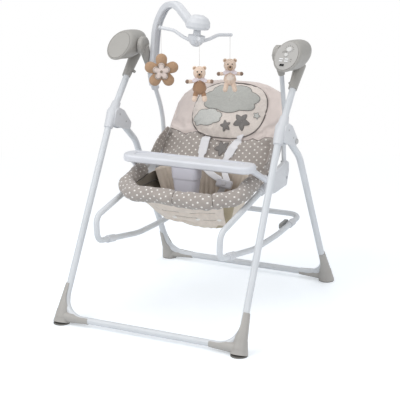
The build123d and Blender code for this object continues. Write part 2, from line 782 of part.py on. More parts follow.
def toy_head(name, r):
    top = toy_top(name)
    c = top - UP * (r - 0.4)
    head = Pos(*c) * Sphere(r)
    head += egg(c + FACE * (r * 0.55) - UP * (r * 0.3), FACE, r * 0.85, r * 0.52, 0.4)
    for k in (-1, 1):
        head += Pos(*at(c, k * r * 0.74, -1, r * 0.66)) * Sphere(r * 0.34)
    return head - cyl(top, top + UP * 20, 4)


def toy_body(name, r_head, length, r):
    top = toy_top(name) - UP * (2 * r_head - 6)
    body = egg(top - UP * length, UP, length, r, 0.42)
    return body - toy_head(name, r_head)


def toy_limbs(name, r_head, length, r):
    top = toy_top(name) - UP * (2 * r_head - 6)
    parts = []
    for k in (-1, 1):
        shoulder = at(top, k * r * 0.35, 2, -13)
        hand = at(top, k * (r * 0.35 + 27), 12, -12)
        parts.append(cone(shoulder, hand, 4.6, 6.4) + Pos(*hand) * Sphere(6.6))
        hip = at(top, k * r * 0.45, 4, -length * 0.78)
        toe = at(top, k * (r * 0.45 + 6), 14, -length * 0.78 - 24)
        parts.append(cone(hip, toe, 6.0, 7.8) + Pos(*toe) * Sphere(8.0))
    cut = toy_body(name, r_head, length, r) + toy_head(name, r_head)
    out = []
    for limb in parts:
        rest = (limb - cut).solids().sort_by(SortBy.VOLUME)[-1]
        out.append(rest)
    return Compound(children=out)


TOY_SIZES = {"bear": (21.0, 52.0, 22.0), "doll": (20.0, 56.0, 23.0)}


def build():
    save(floor_bar(front_y), "front_floor_bar")
    save(pair(front_leg()), "front_leg_tubes")
    save(pair(tube(upper_path(), TUBE)), "upper_tubes")
    hub = side_hub()
    save(hub, "side_hub_right")
    save(mirrored(hub), "side_hub_left")
    save(pair(hub_screws()), "hub_screws")
    boot = foot(front_y)
    save(pair(boot), "front_feet")
    save(pair(foot_pad(front_y)), "front_foot_pads")
    save(floor_bar(rear_y), "rear_floor_bar")
    save(pair(rear_leg()), "rear_leg_tubes")
    save(pair(mirror(boot, Plane.XZ)), "rear_feet")
    save(pair(foot_pad(rear_y)), "rear_foot_pads")
    button = fold_button()
    save(button, "fold_button_right")
    save(mirrored(button), "fold_button_left")
    housing = head_housing()
    save(housing, "head_housing_right")
    save(mirrored(housing), "head_housing_left")
    save(mirrored(head_cover()), "head_cover_left")
    save(control_panel(), "control_panel")
    for name in BUTTONS:
        save(panel_button(name), name)
    save(drive_unit(), "drive_unit")
    save(pair(axle_bush()), "axle_bushes")
    save(pair(swing_axle()), "swing_axles")
    elbow = arm_elbow()
    save(pair(elbow), "arm_elbows")
    arm = swing_arm()
    save(arm, "swing_arm_right")
    save(mirrored(arm), "swing_arm_left")
    bracket = seat_hub()
    save(bracket, "seat_hub_right")
    save(mirrored(bracket), "seat_hub_left")
    save(pair(rocker_leg()), "rocker_legs")
    save(rocker_runner(), "rocker_runner")
    save(pair(rocker_sleeves()), "rocker_sleeves")
    stand = kickstand()
    save(stand, "kickstand_right")
    save(mirrored(stand), "kickstand_left")
    save(seat_frame(), "seat_frame_tube")
    save(rim_roll(), "rim_roll")
    save(seat_bucket(), "seat_bucket")
    save(seat_pad(), "seat_pad")
    save(pair(side_wing()), "side_wings")
    save(harness_buckle(), "harness_buckle")
    save(harness_straps(), "harness_straps")
    save(back_frame(), "back_frame_tube")
    save(back_cushion(), "back_cushion")
    save(head_pillow(), "head_pillow")
    save(shoulder_straps(), "shoulder_straps")
    save(tray(), "tray")
    save(tray_post(), "tray_post")
    save(mobile_clamp(), "mobile_clamp")
    save(mobile_arm(), "mobile_arm")
    save(mobile_dome(), "mobile_dome")
    save(mobile_rotor(), "mobile_rotor")
    for name in TOYS:
        save(toy_string(name), f"{name}_string")
    save(flower(), "flower_toy")
    for name, (r_head, length, r) in TOY_SIZES.items():
        save(toy_head(name, r_head), f"{name}_head")
        save(toy_body(name, r_head, length, r), f"{name}_body")
        save(toy_limbs(name, r_head, length, r), f"{name}_limbs")


build()
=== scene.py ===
import math

import bpy
from mathutils import Matrix, Quaternion, Vector, noise
from mathutils.bvhtree import BVHTree


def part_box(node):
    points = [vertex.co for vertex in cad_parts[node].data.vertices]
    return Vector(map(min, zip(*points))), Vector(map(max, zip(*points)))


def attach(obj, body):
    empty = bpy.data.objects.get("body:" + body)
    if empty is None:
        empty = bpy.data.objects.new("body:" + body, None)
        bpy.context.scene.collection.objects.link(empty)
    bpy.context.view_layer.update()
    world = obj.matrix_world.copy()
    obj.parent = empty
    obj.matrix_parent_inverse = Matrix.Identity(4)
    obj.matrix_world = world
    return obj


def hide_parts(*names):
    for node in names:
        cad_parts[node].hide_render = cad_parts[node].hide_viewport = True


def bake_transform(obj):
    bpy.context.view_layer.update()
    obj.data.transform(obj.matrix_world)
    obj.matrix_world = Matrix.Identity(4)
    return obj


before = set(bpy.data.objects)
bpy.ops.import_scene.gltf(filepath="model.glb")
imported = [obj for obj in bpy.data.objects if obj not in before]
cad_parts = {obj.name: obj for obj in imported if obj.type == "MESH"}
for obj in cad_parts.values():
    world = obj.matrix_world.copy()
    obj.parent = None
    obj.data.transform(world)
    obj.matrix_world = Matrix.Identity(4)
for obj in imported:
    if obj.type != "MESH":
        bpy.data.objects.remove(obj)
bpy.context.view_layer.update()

# Stand tubes
# Round steel tube of 22 mm, bent cold into two low U bars with straight legs plugged on top.
# They are degreased and powder coated white, which leaves a faint orange peel.


def blank_finish(name):
    """A new finish with its node tree and its shader."""
    finish = bpy.data.materials.new(name)
    finish.use_nodes = True
    return finish, finish.node_tree, finish.node_tree.nodes["Principled BSDF"]


def feed(tree, node, **values):
    """Gives inputs of a node their values, or links them to the outputs that feed them."""
    for key, value in values.items():
        socket = node.inputs[key.replace("_", " ")]
        if isinstance(value, bpy.types.NodeSocket):
            tree.links.new(value, socket)
        else:
            socket.default_value = value


def adjust(thing, **settings):
    """Sets attributes of a thing and gives it back."""
    for key, value in settings.items():
        setattr(thing, key, value)
    return thing


def add_node(tree, kind, settings=None, **values):
    """A new node of the tree with its settings and its inputs."""
    made = adjust(tree.nodes.new("ShaderNode" + kind), **(settings or {}))
    feed(tree, made, **values)
    return made


def mottle(tree, place, colour, spread, size):
    """The colour, drifting a little over patches of the given size."""
    drift = add_node(tree, "TexNoise", Vector=place, Scale=1.0 / size, Detail=3.0)
    ramp = add_node(tree, "ValToRGB", Fac=drift.outputs["Fac"])
    stops = ramp.color_ramp.elements
    for stop, spot, factor in zip(stops, (0.3, 0.7), (1.0 - spread, 1.0 + spread)):
        stop.position = spot
        stop.color = (*[min(1.0, c * factor) for c in colour], 1.0)
    return ramp.outputs["Color"]


def grain(tree, place, shader, size, height, strength=1.0):
    """Fine bumps of the given size and height on the shader's normal."""
    bumps = add_node(tree, "TexNoise", Vector=place, Scale=1.0 / size, Detail=2.0)
    bump = add_node(tree, "Bump", Strength=strength, Distance=height, Height=bumps.outputs["Fac"])
    feed(tree, shader, Normal=bump.outputs["Normal"])


GLOSS_SPREAD, GLOSS_PATCH, MOTTLE_PATCH = 0.05, 0.02, 0.05


def hard_finish(name, colour, roughness, peel, peel_height, metal=0.0, spread=0.025):
    """Paint, plastic or bare metal: a mottled colour, uneven gloss and a fine skin."""
    finish, tree, shader = blank_finish(name)
    place = add_node(tree, "TexCoord").outputs["Object"]
    drift = add_node(tree, "TexNoise", Vector=place, Scale=1.0 / GLOSS_PATCH, Detail=2.0)
    gloss = add_node(tree, "MapRange", Value=drift.outputs["Fac"],
                     To_Min=roughness - GLOSS_SPREAD, To_Max=roughness + GLOSS_SPREAD)
    feed(tree, shader, Base_Color=mottle(tree, place, colour, spread, MOTTLE_PATCH),
         Roughness=gloss.outputs["Result"], Metallic=metal)
    grain(tree, place, shader, peel, peel_height, strength=0.35)
    return finish


def dress(finish, *nodes):
    """Gives CAD nodes their finish."""
    for name in nodes:
        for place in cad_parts[name].material_slots:
            place.material = finish


powder_coat = hard_finish("powder_coat_white", (0.70, 0.72, 0.745), 0.36, 0.0012, 0.00004)
dress(powder_coat, "front_floor_bar", "front_leg_tubes", "upper_tubes", "rear_floor_bar",
      "rear_leg_tubes")

# Feet
# Moulded boots of grey-beige plastic, open channels that the bends of the floor bars snap into.
# Each stands on a thin round pad of dark rubber.

boot_plastic = hard_finish("boot_plastic_grey", (0.45, 0.43, 0.405), 0.48, 0.0006, 0.00005)
sole_rubber = hard_finish("sole_rubber", (0.25, 0.24, 0.225), 0.8, 0.0008, 0.0001)
dress(boot_plastic, "front_feet", "rear_feet")
dress(sole_rubber, "front_foot_pads", "rear_foot_pads")

# Side hubs
# White moulded connectors that join front leg, upper tube and rear leg on each side.
# Cross-head screws hold their two cheeks, and a grey round button frees the fold.

white_moulding = hard_finish("white_moulding", (0.69, 0.70, 0.725), 0.42, 0.0007, 0.00004)
screw_zinc = hard_finish("screw_zinc", (0.5, 0.5, 0.51), 0.35, 0.0004, 0.00002, metal=1.0)
button_plastic = hard_finish("button_plastic_grey", (0.56, 0.56, 0.55), 0.45, 0.0006, 0.00004)
dress(white_moulding, "side_hub_right", "side_hub_left")
dress(screw_zinc, "hub_screws")
dress(button_plastic, "fold_button_right", "fold_button_left")

# Heads
# Hollow grey pods on the upper tubes that carry the swing's axle, with a slotted cap at the rear.
# The right one holds the control panel, with its drive inside, and the left one has a plain lid.

head_plastic = hard_finish("head_plastic_grey", (0.40, 0.385, 0.36), 0.44, 0.0006, 0.00004)
panel_plastic = hard_finish("panel_plastic_grey", (0.455, 0.44, 0.42), 0.36, 0.0006, 0.00003)
key_plastic = hard_finish("key_plastic_pale", (0.66, 0.65, 0.63), 0.4, 0.0006, 0.00003)
drive_black = hard_finish("drive_black", (0.06, 0.06, 0.06), 0.55, 0.0006, 0.00004)
bush_brass = hard_finish("bush_brass", (0.6, 0.45, 0.2), 0.35, 0.0004, 0.00002, metal=1.0)
axle_steel = hard_finish("axle_steel", (0.56, 0.56, 0.57), 0.32, 0.0004, 0.00002, metal=1.0)
dress(head_plastic, "head_housing_right", "head_housing_left", "head_cover_left")
dress(panel_plastic, "control_panel")
dress(key_plastic, "speed_button", "music_button")
dress(drive_black, "drive_unit")
dress(bush_brass, "axle_bushes")
dress(axle_steel, "swing_axles")


def put(name, data):
    """A new object of the scene that shows the data."""
    made = bpy.data.objects.new(name, data)
    bpy.context.collection.objects.link(made)
    return made


def fit(piece, body, node=None):
    """Fixes a piece to its body and hides the CAD node that it shows."""
    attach(piece, body)
    if node:
        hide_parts(node)


def turns(count, more=0):
    """Angles in count equal steps of a full turn, and more of them past it."""
    return [2 * math.pi * k / count for k in range(count + more)]


def piece_from(name, points, faces, corners, finishes, parts):
    """A smooth mesh piece with its UV map and the number of each face's finish."""
    mesh = bpy.data.meshes.new(name)
    mesh.from_pydata([tuple(p) for p in points], [], faces)
    layer = mesh.uv_layers.new(name="UVMap")
    layer.data.foreach_set("uv", [x for corner in corners for x in corner])
    for finish in finishes:
        mesh.materials.append(finish)
    mesh.polygons.foreach_set("material_index", parts)
    mesh.polygons.foreach_set("use_smooth", [True] * len(faces))
    mesh.update()
    return put(name, mesh)


def skin(name, rings, uv, finishes, loop=True, caps=False, part=lambda i, j: 0):
    """A skin over rings of points. uv(i, j) lays it out, part(i, j) picks each face's finish."""
    count, last = len(rings[0]), len(rings) - 1
    faces, corners, parts = [], [], []
    for i in range(last):
        for j in range(count if loop else count - 1):
            k = (j + 1) % count
            faces.append((i * count + j, i * count + k, (i + 1) * count + k, (i + 1) * count + j))
            corners += [uv(i, j), uv(i, j + 1), uv(i + 1, j + 1), uv(i + 1, j)]
            parts.append(part(i, j))
    if caps:
        faces.append(tuple(reversed(range(count))))
        corners += [uv(0, j) for j in reversed(range(count))]
        faces.append(tuple(range(last * count, (last + 1) * count)))
        corners += [uv(last, j) for j in range(count)]
        parts += [part(0, 0), part(last - 1, 0)]
    return piece_from(name, [p for ring in rings for p in ring], faces, corners, finishes, parts)


def heading(line, i):
    """The direction of a line of points at one of them."""
    return (line[min(i + 1, len(line) - 1)] - line[max(i - 1, 0)]).normalized()


def beading(name, line, radius, finish, sides=8, taper=True):
    """A thin round trim along a line of points, closed at both ends."""
    rings = []
    for i, place in enumerate(line):
        along = heading(line, i)
        side = along.cross(Vector((0.31, 0.17, 0.93))).normalized()
        other = along.cross(side)
        r = radius * (0.3 if taper and i in (0, len(line) - 1) else 1.0)
        rings.append([place + (side * math.cos(a) + other * math.sin(a)) * r for a in turns(sides)])
    return skin(name, rings, lambda i, j: (i * 0.005, j * radius), [finish], caps=True)


ACROSS = Vector((1, 0, 0))
HEAD_MIDDLE = Vector((0.301, 0.003, 0.857))
HEAD_UP = Vector((0, 0.66913, 0.74314))
HEAD_FRONT = Vector((0, -0.74314, 0.66913))
SIDES = ((1, "right"), (-1, "left"))


def on_panel(x, rise, lift, side=1):
    """A point of a head's face: across, up its slope and proud of it."""
    p = HEAD_MIDDLE + Vector((x, 0, 0)) + HEAD_UP * rise + HEAD_FRONT * lift
    return Vector((p.x * side, p.y, p.z))


def block(name, middle, across, up, size, finish):
    """A small box with eased edges, sized across, up and out of its face."""
    out = across.cross(up)
    points = []
    for c in (-0.5, 0.5):
        for a, b in ((-0.5, -0.5), (0.5, -0.5), (0.5, 0.5), (-0.5, 0.5)):
            points.append(tuple(middle + across * (a * size[0]) + up * (b * size[1])
                                + out * (c * size[2])))
    mesh = bpy.data.meshes.new(name)
    mesh.from_pydata(points, [], [(3, 2, 1, 0), (4, 5, 6, 7), (0, 1, 5, 4), (1, 2, 6, 5),
                                  (2, 3, 7, 6), (3, 0, 4, 7)])
    mesh.materials.append(finish)
    piece = put(name, mesh)
    adjust(piece.modifiers.new("ease", "BEVEL"), width=min(size) * 0.4, segments=3)
    return piece


def tab(name, x, rise, size, lift, finish, turn=0.0):
    """A flat mark on the panel, turned in its face."""
    across = ACROSS * math.cos(turn) + HEAD_UP * math.sin(turn)
    up = HEAD_UP * math.cos(turn) - ACROSS * math.sin(turn)
    piece = block(name, on_panel(x, rise, lift + size[2] / 2), across, up, size, finish)
    fit(piece, "stand")


LID_HALF = (0.0371, 0.0521)
CAP_HALF, CAP_RISE = (0.0149, 0.0229), 0.082
CAP_PROFILE = ((0.03, -0.1088), (0.97, -0.1088), (1.0, -0.1080), (1.0, -0.1060), (0.03, -0.1060))
SLIT_LOWEST, SLIT_PITCH, SLIT_LIFT = 0.070, 0.006, -0.1089
gap_dark = hard_finish("gap_dark", (0.13, 0.125, 0.115), 0.7, 0.0006, 0.00002)
for side, word in SIDES:
    edge = [on_panel(LID_HALF[0] * math.cos(a), LID_HALF[1] * math.sin(a), 0.0001, side)
            for a in turns(96, 1)]
    lid_gap = beading(f"lid_gap_{word}", edge, 0.0006, gap_dark, sides=6, taper=False)
    cap = [[on_panel(CAP_HALF[0] * share * math.cos(a),
                     CAP_RISE + CAP_HALF[1] * share * math.sin(a), lift, side) for a in turns(48)]
           for share, lift in CAP_PROFILE]
    grille = skin(f"rear_grille_{word}", cap, lambda i, j: (j * 0.002, i * 0.01), [head_plastic],
                  caps=True)
    slits = [block(f"rear_slit_{word}_{k + 1}",
                   on_panel(0.0, SLIT_LOWEST + SLIT_PITCH * k, SLIT_LIFT, side), ACROSS, HEAD_UP,
                   (0.020 - 0.0022 * abs(k - 2), 0.0020, 0.0008), gap_dark) for k in range(5)]
    for piece in [lid_gap, grille] + slits:
        fit(piece, "stand")

PRINT_LIFT, DIAL, DIAL_RADIUS = 0.0013, (0.003, 0.024), 0.0142
mark_white = hard_finish("mark_white", (0.80, 0.80, 0.80), 0.35, 0.0005, 0.00001)
window_black = hard_finish("window_black", (0.012, 0.012, 0.013), 0.08, 0.0008, 0.00001)
mark_dark = hard_finish("mark_dark", (0.11, 0.10, 0.09), 0.5, 0.0005, 0.00001)
for row, rise in enumerate((-0.012, -0.020)):
    for column, x in enumerate((-0.014, 0.004)):
        tab(f"lamp_bar_{row}_{column}", x, rise, (0.0122, 0.0042, 0.0006), 0.0021, mark_white)
    tab(f"lamp_dot_{row}", 0.0185, rise, (0.0028, 0.0028, 0.0006), PRINT_LIFT, mark_dark)
tab("panel_window", -0.006, -0.035, (0.0142, 0.0082, 0.0006), 0.0023, window_black)
for k in range(9):
    angle = math.radians(-20 + 27.5 * k)
    tab(f"dial_tick_{k + 1}", DIAL[0] + DIAL_RADIUS * math.cos(angle),
        DIAL[1] + DIAL_RADIUS * math.sin(angle), (0.0034, 0.0013, 0.0005), PRINT_LIFT, mark_dark,
        turn=angle)
for k in range(4):
    tab(f"grille_slot_{k + 1}", -0.016 + 0.0042 * k, 0.014, (0.0014, 0.0075 - 0.0006 * k, 0.0005),
        PRINT_LIFT, mark_dark, turn=-0.35)

# Swing arms and seat carriage
# Slim bent tubes hang from grey moulded knees and end in white seat hubs.
# The rocker's legs and runner are coated tube too, with white sleeves and grey flip-down stops.

dress(head_plastic, "arm_elbows")
dress(powder_coat, "swing_arm_right", "swing_arm_left", "rocker_legs", "rocker_runner")
dress(white_moulding, "seat_hub_right", "seat_hub_left", "rocker_sleeves")
stop_plastic = hard_finish("stop_plastic_grey", (0.33, 0.33, 0.325), 0.5, 0.0006, 0.00004)
dress(stop_plastic, "kickstand_right", "kickstand_left")
dress(axle_steel, "seat_frame_tube", "back_frame_tube")

# Padded rim
# A foam-filled roll of printed cotton round the seat's front tube, sewn shut at two cross seams.
# The cloth gathers a little on the inside of the bends, and a dark bias tape hides the inner seam.

DOT_PITCH, DOT_RADIUS, DOT_EDGE, DOT_SLANT = 0.0175, 0.0029, 0.012, 0.62
DOT_WHITE = (0.86, 0.835, 0.80, 1.0)


def wire(tree, node, *sources):
    """Links outputs to a node's inputs in their order, and gives the node's own output."""
    for socket, source in zip(node.inputs, sources):
        tree.links.new(source, socket)
    return node.outputs[0]


def cover_cloth(name, colour, thread=0.0011, dotted=False, spread=0.06, sheen=0.25):
    """Woven cover cloth, laid out by its UV map in metres, with printed dots if asked."""
    finish, tree, shader = blank_finish(name)
    place = add_node(tree, "UVMap").outputs["UV"]
    tint = mottle(tree, place, colour, spread, size=0.02)
    if dotted:
        slant = add_node(tree, "Mapping", Vector=place, Rotation=(0.0, 0.0, DOT_SLANT))
        cells = add_node(tree, "TexVoronoi", {"voronoi_dimensions": "2D"},
                         Vector=slant.outputs["Vector"], Scale=1.0 / DOT_PITCH, Randomness=0.22)
        edge = add_node(tree, "MapRange", Value=cells.outputs["Distance"],
                        From_Min=DOT_RADIUS / DOT_PITCH - DOT_EDGE,
                        From_Max=DOT_RADIUS / DOT_PITCH + DOT_EDGE)
        ink = add_node(tree, "Mix", {"data_type": "RGBA"})
        ink.inputs[6].default_value = DOT_WHITE
        tree.links.new(edge.outputs["Result"], ink.inputs[0])
        tree.links.new(tint, ink.inputs[7])
        tint = ink.outputs[2]
    yarns = [add_node(tree, "TexWave", {"bands_direction": way}, Vector=place,
                      Scale=0.314 / thread, Distortion=0.6) for way in "XY"]
    weave = wire(tree, add_node(tree, "Math", {"operation": "MULTIPLY"}),
                 *[yarn.outputs["Fac"] for yarn in yarns])
    bump = add_node(tree, "Bump", Strength=0.35, Distance=thread * 0.3, Height=weave)
    feed(tree, shader, Base_Color=tint, Normal=bump.outputs["Normal"], Roughness=0.88,
         Sheen_Weight=sheen, Sheen_Roughness=0.5)
    return finish


def rounded_line(points, radius, step):
    """Evenly spaced points along a line whose corners are arcs."""
    line = [points[0]]
    for before, corner, after in zip(points, points[1:], points[2:]):
        a = (before - corner).normalized()
        b = (after - corner).normalized()
        half = a.angle(b) / 2
        middle = corner + (a + b).normalized() * (radius / math.sin(half))
        start = corner + a * (radius / math.tan(half)) - middle
        end = corner + b * (radius / math.tan(half)) - middle
        line += [middle + start.slerp(end, k / 16) * radius for k in range(17)]
    line.append(points[-1])
    spaced, rest = [line[0]], 0.0
    for a, b in zip(line, line[1:]):
        run = (b - a).length
        while rest + run >= step and run > 1e-9:
            a = a.lerp(b, (step - rest) / run)
            spaced.append(a)
            run, rest = (b - a).length, 0.0
        rest += run
    spaced.append(line[-1])
    return spaced


def soften(piece):
    adjust(piece.modifiers.new("soften", "SUBSURF"), levels=1, render_levels=1)


def plump(piece, held, ease, pressure, most, frames=22):
    """Lets a cover settle over its filling as cloth cut a little large, with its seams held."""
    seams = piece.vertex_groups.new(name="seams")
    seams.add(held, 1.0, "REPLACE")
    cloth = piece.modifiers.new("cover", "CLOTH")
    adjust(cloth.settings, quality=6, mass=0.2, tension_stiffness=30.0,
           compression_stiffness=30.0, shear_stiffness=15.0, bending_stiffness=0.3,
           vertex_group_mass="seams", use_pressure=True, uniform_pressure_force=pressure,
           shrink_min=-ease)
    cloth.settings.effector_weights.gravity = 0.0
    adjust(cloth.collision_settings, use_collision=False, use_self_collision=False)
    adjust(cloth.point_cache, frame_start=1, frame_end=frames)
    scene = bpy.context.scene
    for frame_number in range(1, frames + 1):
        scene.frame_set(frame_number)
    settled = piece.evaluated_get(bpy.context.evaluated_depsgraph_get()).data
    places = [v.co.copy() for v in settled.vertices]
    piece.modifiers.remove(cloth)
    piece.vertex_groups.remove(seams)
    scene.frame_set(1)
    for v, place in zip(piece.data.vertices, places):
        move = place - v.co
        v.co += move if move.length < most else move.normalized() * most


def bump_at(value, middle, width):
    return math.exp(-((value - middle) / width) ** 2)


SEAT_HALF, RIM_FRONT = 0.205, -0.212
RIM_LEVEL, RIM_SLOPE = 0.449, 0.155
RIM_STEP, RIM_BEND, END_ROUND = 0.006, 0.075, 0.006
RIM_UP = Vector((0, -RIM_SLOPE, 1)).normalized()
ROLL, ROLL_MOST = 0.0252, 0.0022
ROLL_SIDES, ROLL_SEAM = 36, math.radians(200)
SEAMS, SEAM_REACH, SEAM_GAP = (0.014, 0.140), -0.15, 0.007
SEAM_DRAW = ((0.0042, 0.0, 0.004), (-0.0010, 0.014, 0.008))
GATHER, UNEVEN = 0.0011, 0.0016


def rim_height(y):
    return RIM_LEVEL + RIM_SLOPE * y


rim_corners = [(SEAT_HALF, -0.014), (SEAT_HALF + 0.001, -0.145), (0.134, RIM_FRONT)]
rim_corners += [(-x, y) for x, y in reversed(rim_corners)]
rim_line = rounded_line([Vector((x, y, rim_height(y))) for x, y in rim_corners], RIM_BEND, RIM_STEP)
RIM_LAST = len(rim_line) - 1


def rim_frame(i):
    """Place, outward direction and bend of the roll at one step."""
    ahead = rim_line[min(i + 2, RIM_LAST)]
    behind = rim_line[max(i - 2, 0)]
    outward = RIM_UP.cross((ahead - behind).normalized())
    if not (outward.y < 0 or outward.x * rim_line[i].x > 0):
        outward = -outward
    bent = 2 <= i < RIM_LAST - 1
    turn = (ahead - rim_line[i]).angle(rim_line[i] - behind) if bent else 0.0
    return rim_line[i], outward, turn


def roll_ring(i):
    """One round of the roll, drawn in at its ends and seams and gathered inside its bends."""
    place, outward, turn = rim_frame(i)
    end = min(i, RIM_LAST - i) * RIM_STEP
    swell = 1.0 - 0.55 * math.exp(-end / END_ROUND)
    ring = []
    for step in turns(ROLL_SIDES):
        a = ROLL_SEAM + step
        r = ROLL * swell
        for seam in SEAMS:
            if place.y < SEAM_REACH:
                r -= sum(depth * bump_at(abs(place.x - seam), off, width)
                         for depth, off, width in SEAM_DRAW)
        inner = max(0.0, -math.cos(a))
        gather = math.sin(i * 1.55 + 1.2 * math.sin(a * 2)) * (0.25 + 5.0 * turn) * inner
        gather += 0.6 * math.sin(i * 0.9 + a) * (1.0 if place.x < -0.15 else 0.2)
        r += GATHER * gather + UNEVEN * noise.noise(place * 22 + Vector((a, 0, 0)))
        r = min(r, ROLL + ROLL_MOST)
        ring.append(place + (outward * math.cos(a) + RIM_UP * math.sin(a)) * r)
    return ring


dotted_taupe = cover_cloth("dotted_taupe_cotton", (0.40, 0.355, 0.325), dotted=True)
rim_roll = skin("rim_padding", [roll_ring(i) for i in range(RIM_LAST + 1)],
                lambda i, j: (i * RIM_STEP, j / ROLL_SIDES * 2 * math.pi * ROLL), [dotted_taupe],
                caps=True)
rim_held = []
for i, place in enumerate(rim_line):
    sewn = place.y < SEAM_REACH and min(abs(place.x - seam) for seam in SEAMS) < SEAM_GAP
    whole = sewn or min(i, RIM_LAST - i) < 2
    rim_held += [i * ROLL_SIDES + j for j in (range(ROLL_SIDES) if whole else (0, 1, 7))]
plump(rim_roll, rim_held, 0.035, 0.2, 0.003)
soften(rim_roll)
fit(rim_roll, "swing", "rim_roll")

tape_dark = cover_cloth("bias_tape_dark", (0.10, 0.085, 0.07), thread=0.0008)
inner_seam = []
for i in range(2, RIM_LAST - 1, 2):
    place, outward, _ = rim_frame(i)
    inner_seam.append(place - outward * (ROLL * 0.95) - RIM_UP * (ROLL * 0.42))
rim_trims = [beading("rim_tape", inner_seam, 0.0024, tape_dark)]
for number, seam in enumerate(SEAMS):
    i = min(range(RIM_LAST + 1),
            key=lambda k: abs(rim_line[k].x - seam) + 9 * (rim_line[k].y > SEAM_REACH))
    ring = roll_ring(i)
    stitch = [ring[j % ROLL_SIDES] + (ring[j % ROLL_SIDES] - rim_line[i]) * 0.02
              for j in range(-23, 2)]
    rim_trims.append(beading(f"rim_seam_{number + 1}", stitch, 0.0013, tape_dark, sides=6))
for piece in rim_trims:
    fit(piece, "swing")

# Seat sling
# A deep bag of plain beige cotton that hangs from the rim and carries the child.
# It is lined in brown, gathered at the back, and closed at the front by a snapped flap.

SLING_SIDES, SLING_STEPS = 120, 35
SLING_ROWS = [(0.424, 0.186, -0.204, 0.088), (0.394, 0.179, -0.190, 0.090),
              (0.352, 0.152, -0.134, 0.101), (0.312, 0.127, -0.074, 0.110),
              (0.278, 0.099, -0.024, 0.112), (0.258, 0.067, 0.010, 0.103),
              (0.2535, 0.024, 0.040, 0.078), (0.2530, 0.002, 0.056, 0.060)]
SLING_SQUARE, SLING_FOLD, SLING_UNEVEN = 0.72, 0.0022, 0.004
GUSSET = range(SLING_SIDES * 14 // 360, SLING_SIDES * 52 // 360)


def between(rows, share):
    """A smooth mix of listed rows, share from 0 at the first to 1 at the last."""
    spot = share * (len(rows) - 1)
    k = min(int(spot), len(rows) - 2)
    f = spot - k
    near = rows[max(k - 1, 0)], rows[k], rows[k + 1], rows[min(k + 2, len(rows) - 1)]
    return [q + 0.5 * f * (r - p + f * (2 * p - 5 * q + 4 * r - s + f * (3 * (q - r) + s - p)))
            for p, q, r, s in zip(*near)]


def squared(value, power):
    """A sine or cosine that makes an oval more square."""
    return math.copysign(abs(value) ** power, value)


def sling_point(share, angle, proud=0.0):
    """A point of the bag, share from its top edge to its bottom, proud of the cloth."""
    level, half, front, rear = between(SLING_ROWS, share)
    c, s = math.cos(angle), math.sin(angle)
    x = half * squared(c, SLING_SQUARE)
    y = (front + rear) / 2 + (rear - front) / 2 * squared(s, SLING_SQUARE)
    edge = rim_height(min(y, 0.02)) - 0.012
    top = max(0.0, 1.0 - share * (len(SLING_ROWS) - 1))
    z = level + (edge - level) * top ** 1.5
    out = Vector((c, s, -0.25)).normalized()
    fold = SLING_FOLD * math.sin(angle * 17 + 3 * share) * (0.3 + share)
    fold += SLING_UNEVEN * noise.noise(Vector((x, y, z)) * 16)
    fold *= min(1.0, 5 * share) * (1.0 if share < 0.95 else 0.3)
    return Vector((x, y, z)) + out * (fold - 0.002 + proud)


def sling_panel(i, j):
    """The olive gussets beside the flap, the rest in beige."""
    return 2 if j in GUSSET or SLING_SIDES // 2 - 1 - j in GUSSET else 0


sling_cotton = cover_cloth("sling_cotton_beige", (0.76, 0.67, 0.56), thread=0.0014, spread=0.07)
lining_brown = cover_cloth("lining_cotton_brown", (0.235, 0.20, 0.155), thread=0.0014, spread=0.10)
gusset_olive = cover_cloth("gusset_cotton_olive", (0.39, 0.315, 0.19), thread=0.0014, spread=0.07)
sling = skin("seat_sling", [[sling_point(i / SLING_STEPS, -a) for a in turns(SLING_SIDES)]
                            for i in range(SLING_STEPS + 1)],
             lambda i, j: (j * 0.0085, i * 0.009),
             [sling_cotton, lining_brown, gusset_olive, lining_brown], part=sling_panel)
adjust(sling.modifiers.new("lining", "SOLIDIFY"), thickness=0.004, offset=-1.0,
       material_offset=1)
soften(sling)
fit(sling, "swing", "seat_bucket")

binding = [sling_point(0.115, math.radians(140 + 2 * k), -0.0075) for k in range(131)]
fit(beading("lining_tape", binding, 0.0022, tape_dark, sides=6), "swing")

FLAP_START, FLAP_END = math.radians(230), math.radians(322)
FLAP_TOP, FLAP_LOW = 0.08, 0.47
FLAP_STEPS = 60
FLAP_CLEAR, FLAP_HANG, FLAP_PULL = 0.0050, 0.016, 0.0016
HEM, HEM_WIDTH = 0.0010, 0.06
CREASES = [(0.49, 0.44, 0.93, 0.0056), (0.67, 0.32, 0.60, 0.0046), (0.80, 0.58, 0.88, 0.0046),
           (0.50, 0.18, 0.46, 0.0042), (0.88, 0.10, 0.56, 0.0044)]
CREASE_WAVE, CREASE_WIDTH = 0.04, 0.034


def flap_point(down, along, proud=0.0):
    """A point of the flap, which hangs clear of the bag towards its lower edge."""
    pull = FLAP_PULL * math.sin(down * 20 + 0.9 * math.sin(along * 14))
    pull *= math.sin(math.pi * along)
    for level, start, end, depth in CREASES:
        if start < along < end:
            fade = math.sin(math.pi * (along - start) / (end - start))
            wave = CREASE_WAVE * math.sin(along * 5)
            pull -= depth * fade * bump_at(down - wave, level, CREASE_WIDTH)
    hem = HEM if min(down, 1 - down, 1 - along) < HEM_WIDTH else 0.0
    hang = FLAP_HANG * down ** 1.5
    return sling_point(FLAP_TOP + (FLAP_LOW - FLAP_TOP) * down,
                       FLAP_START + (FLAP_END - FLAP_START) * along,
                       FLAP_CLEAR + hem + pull + hang + proud)


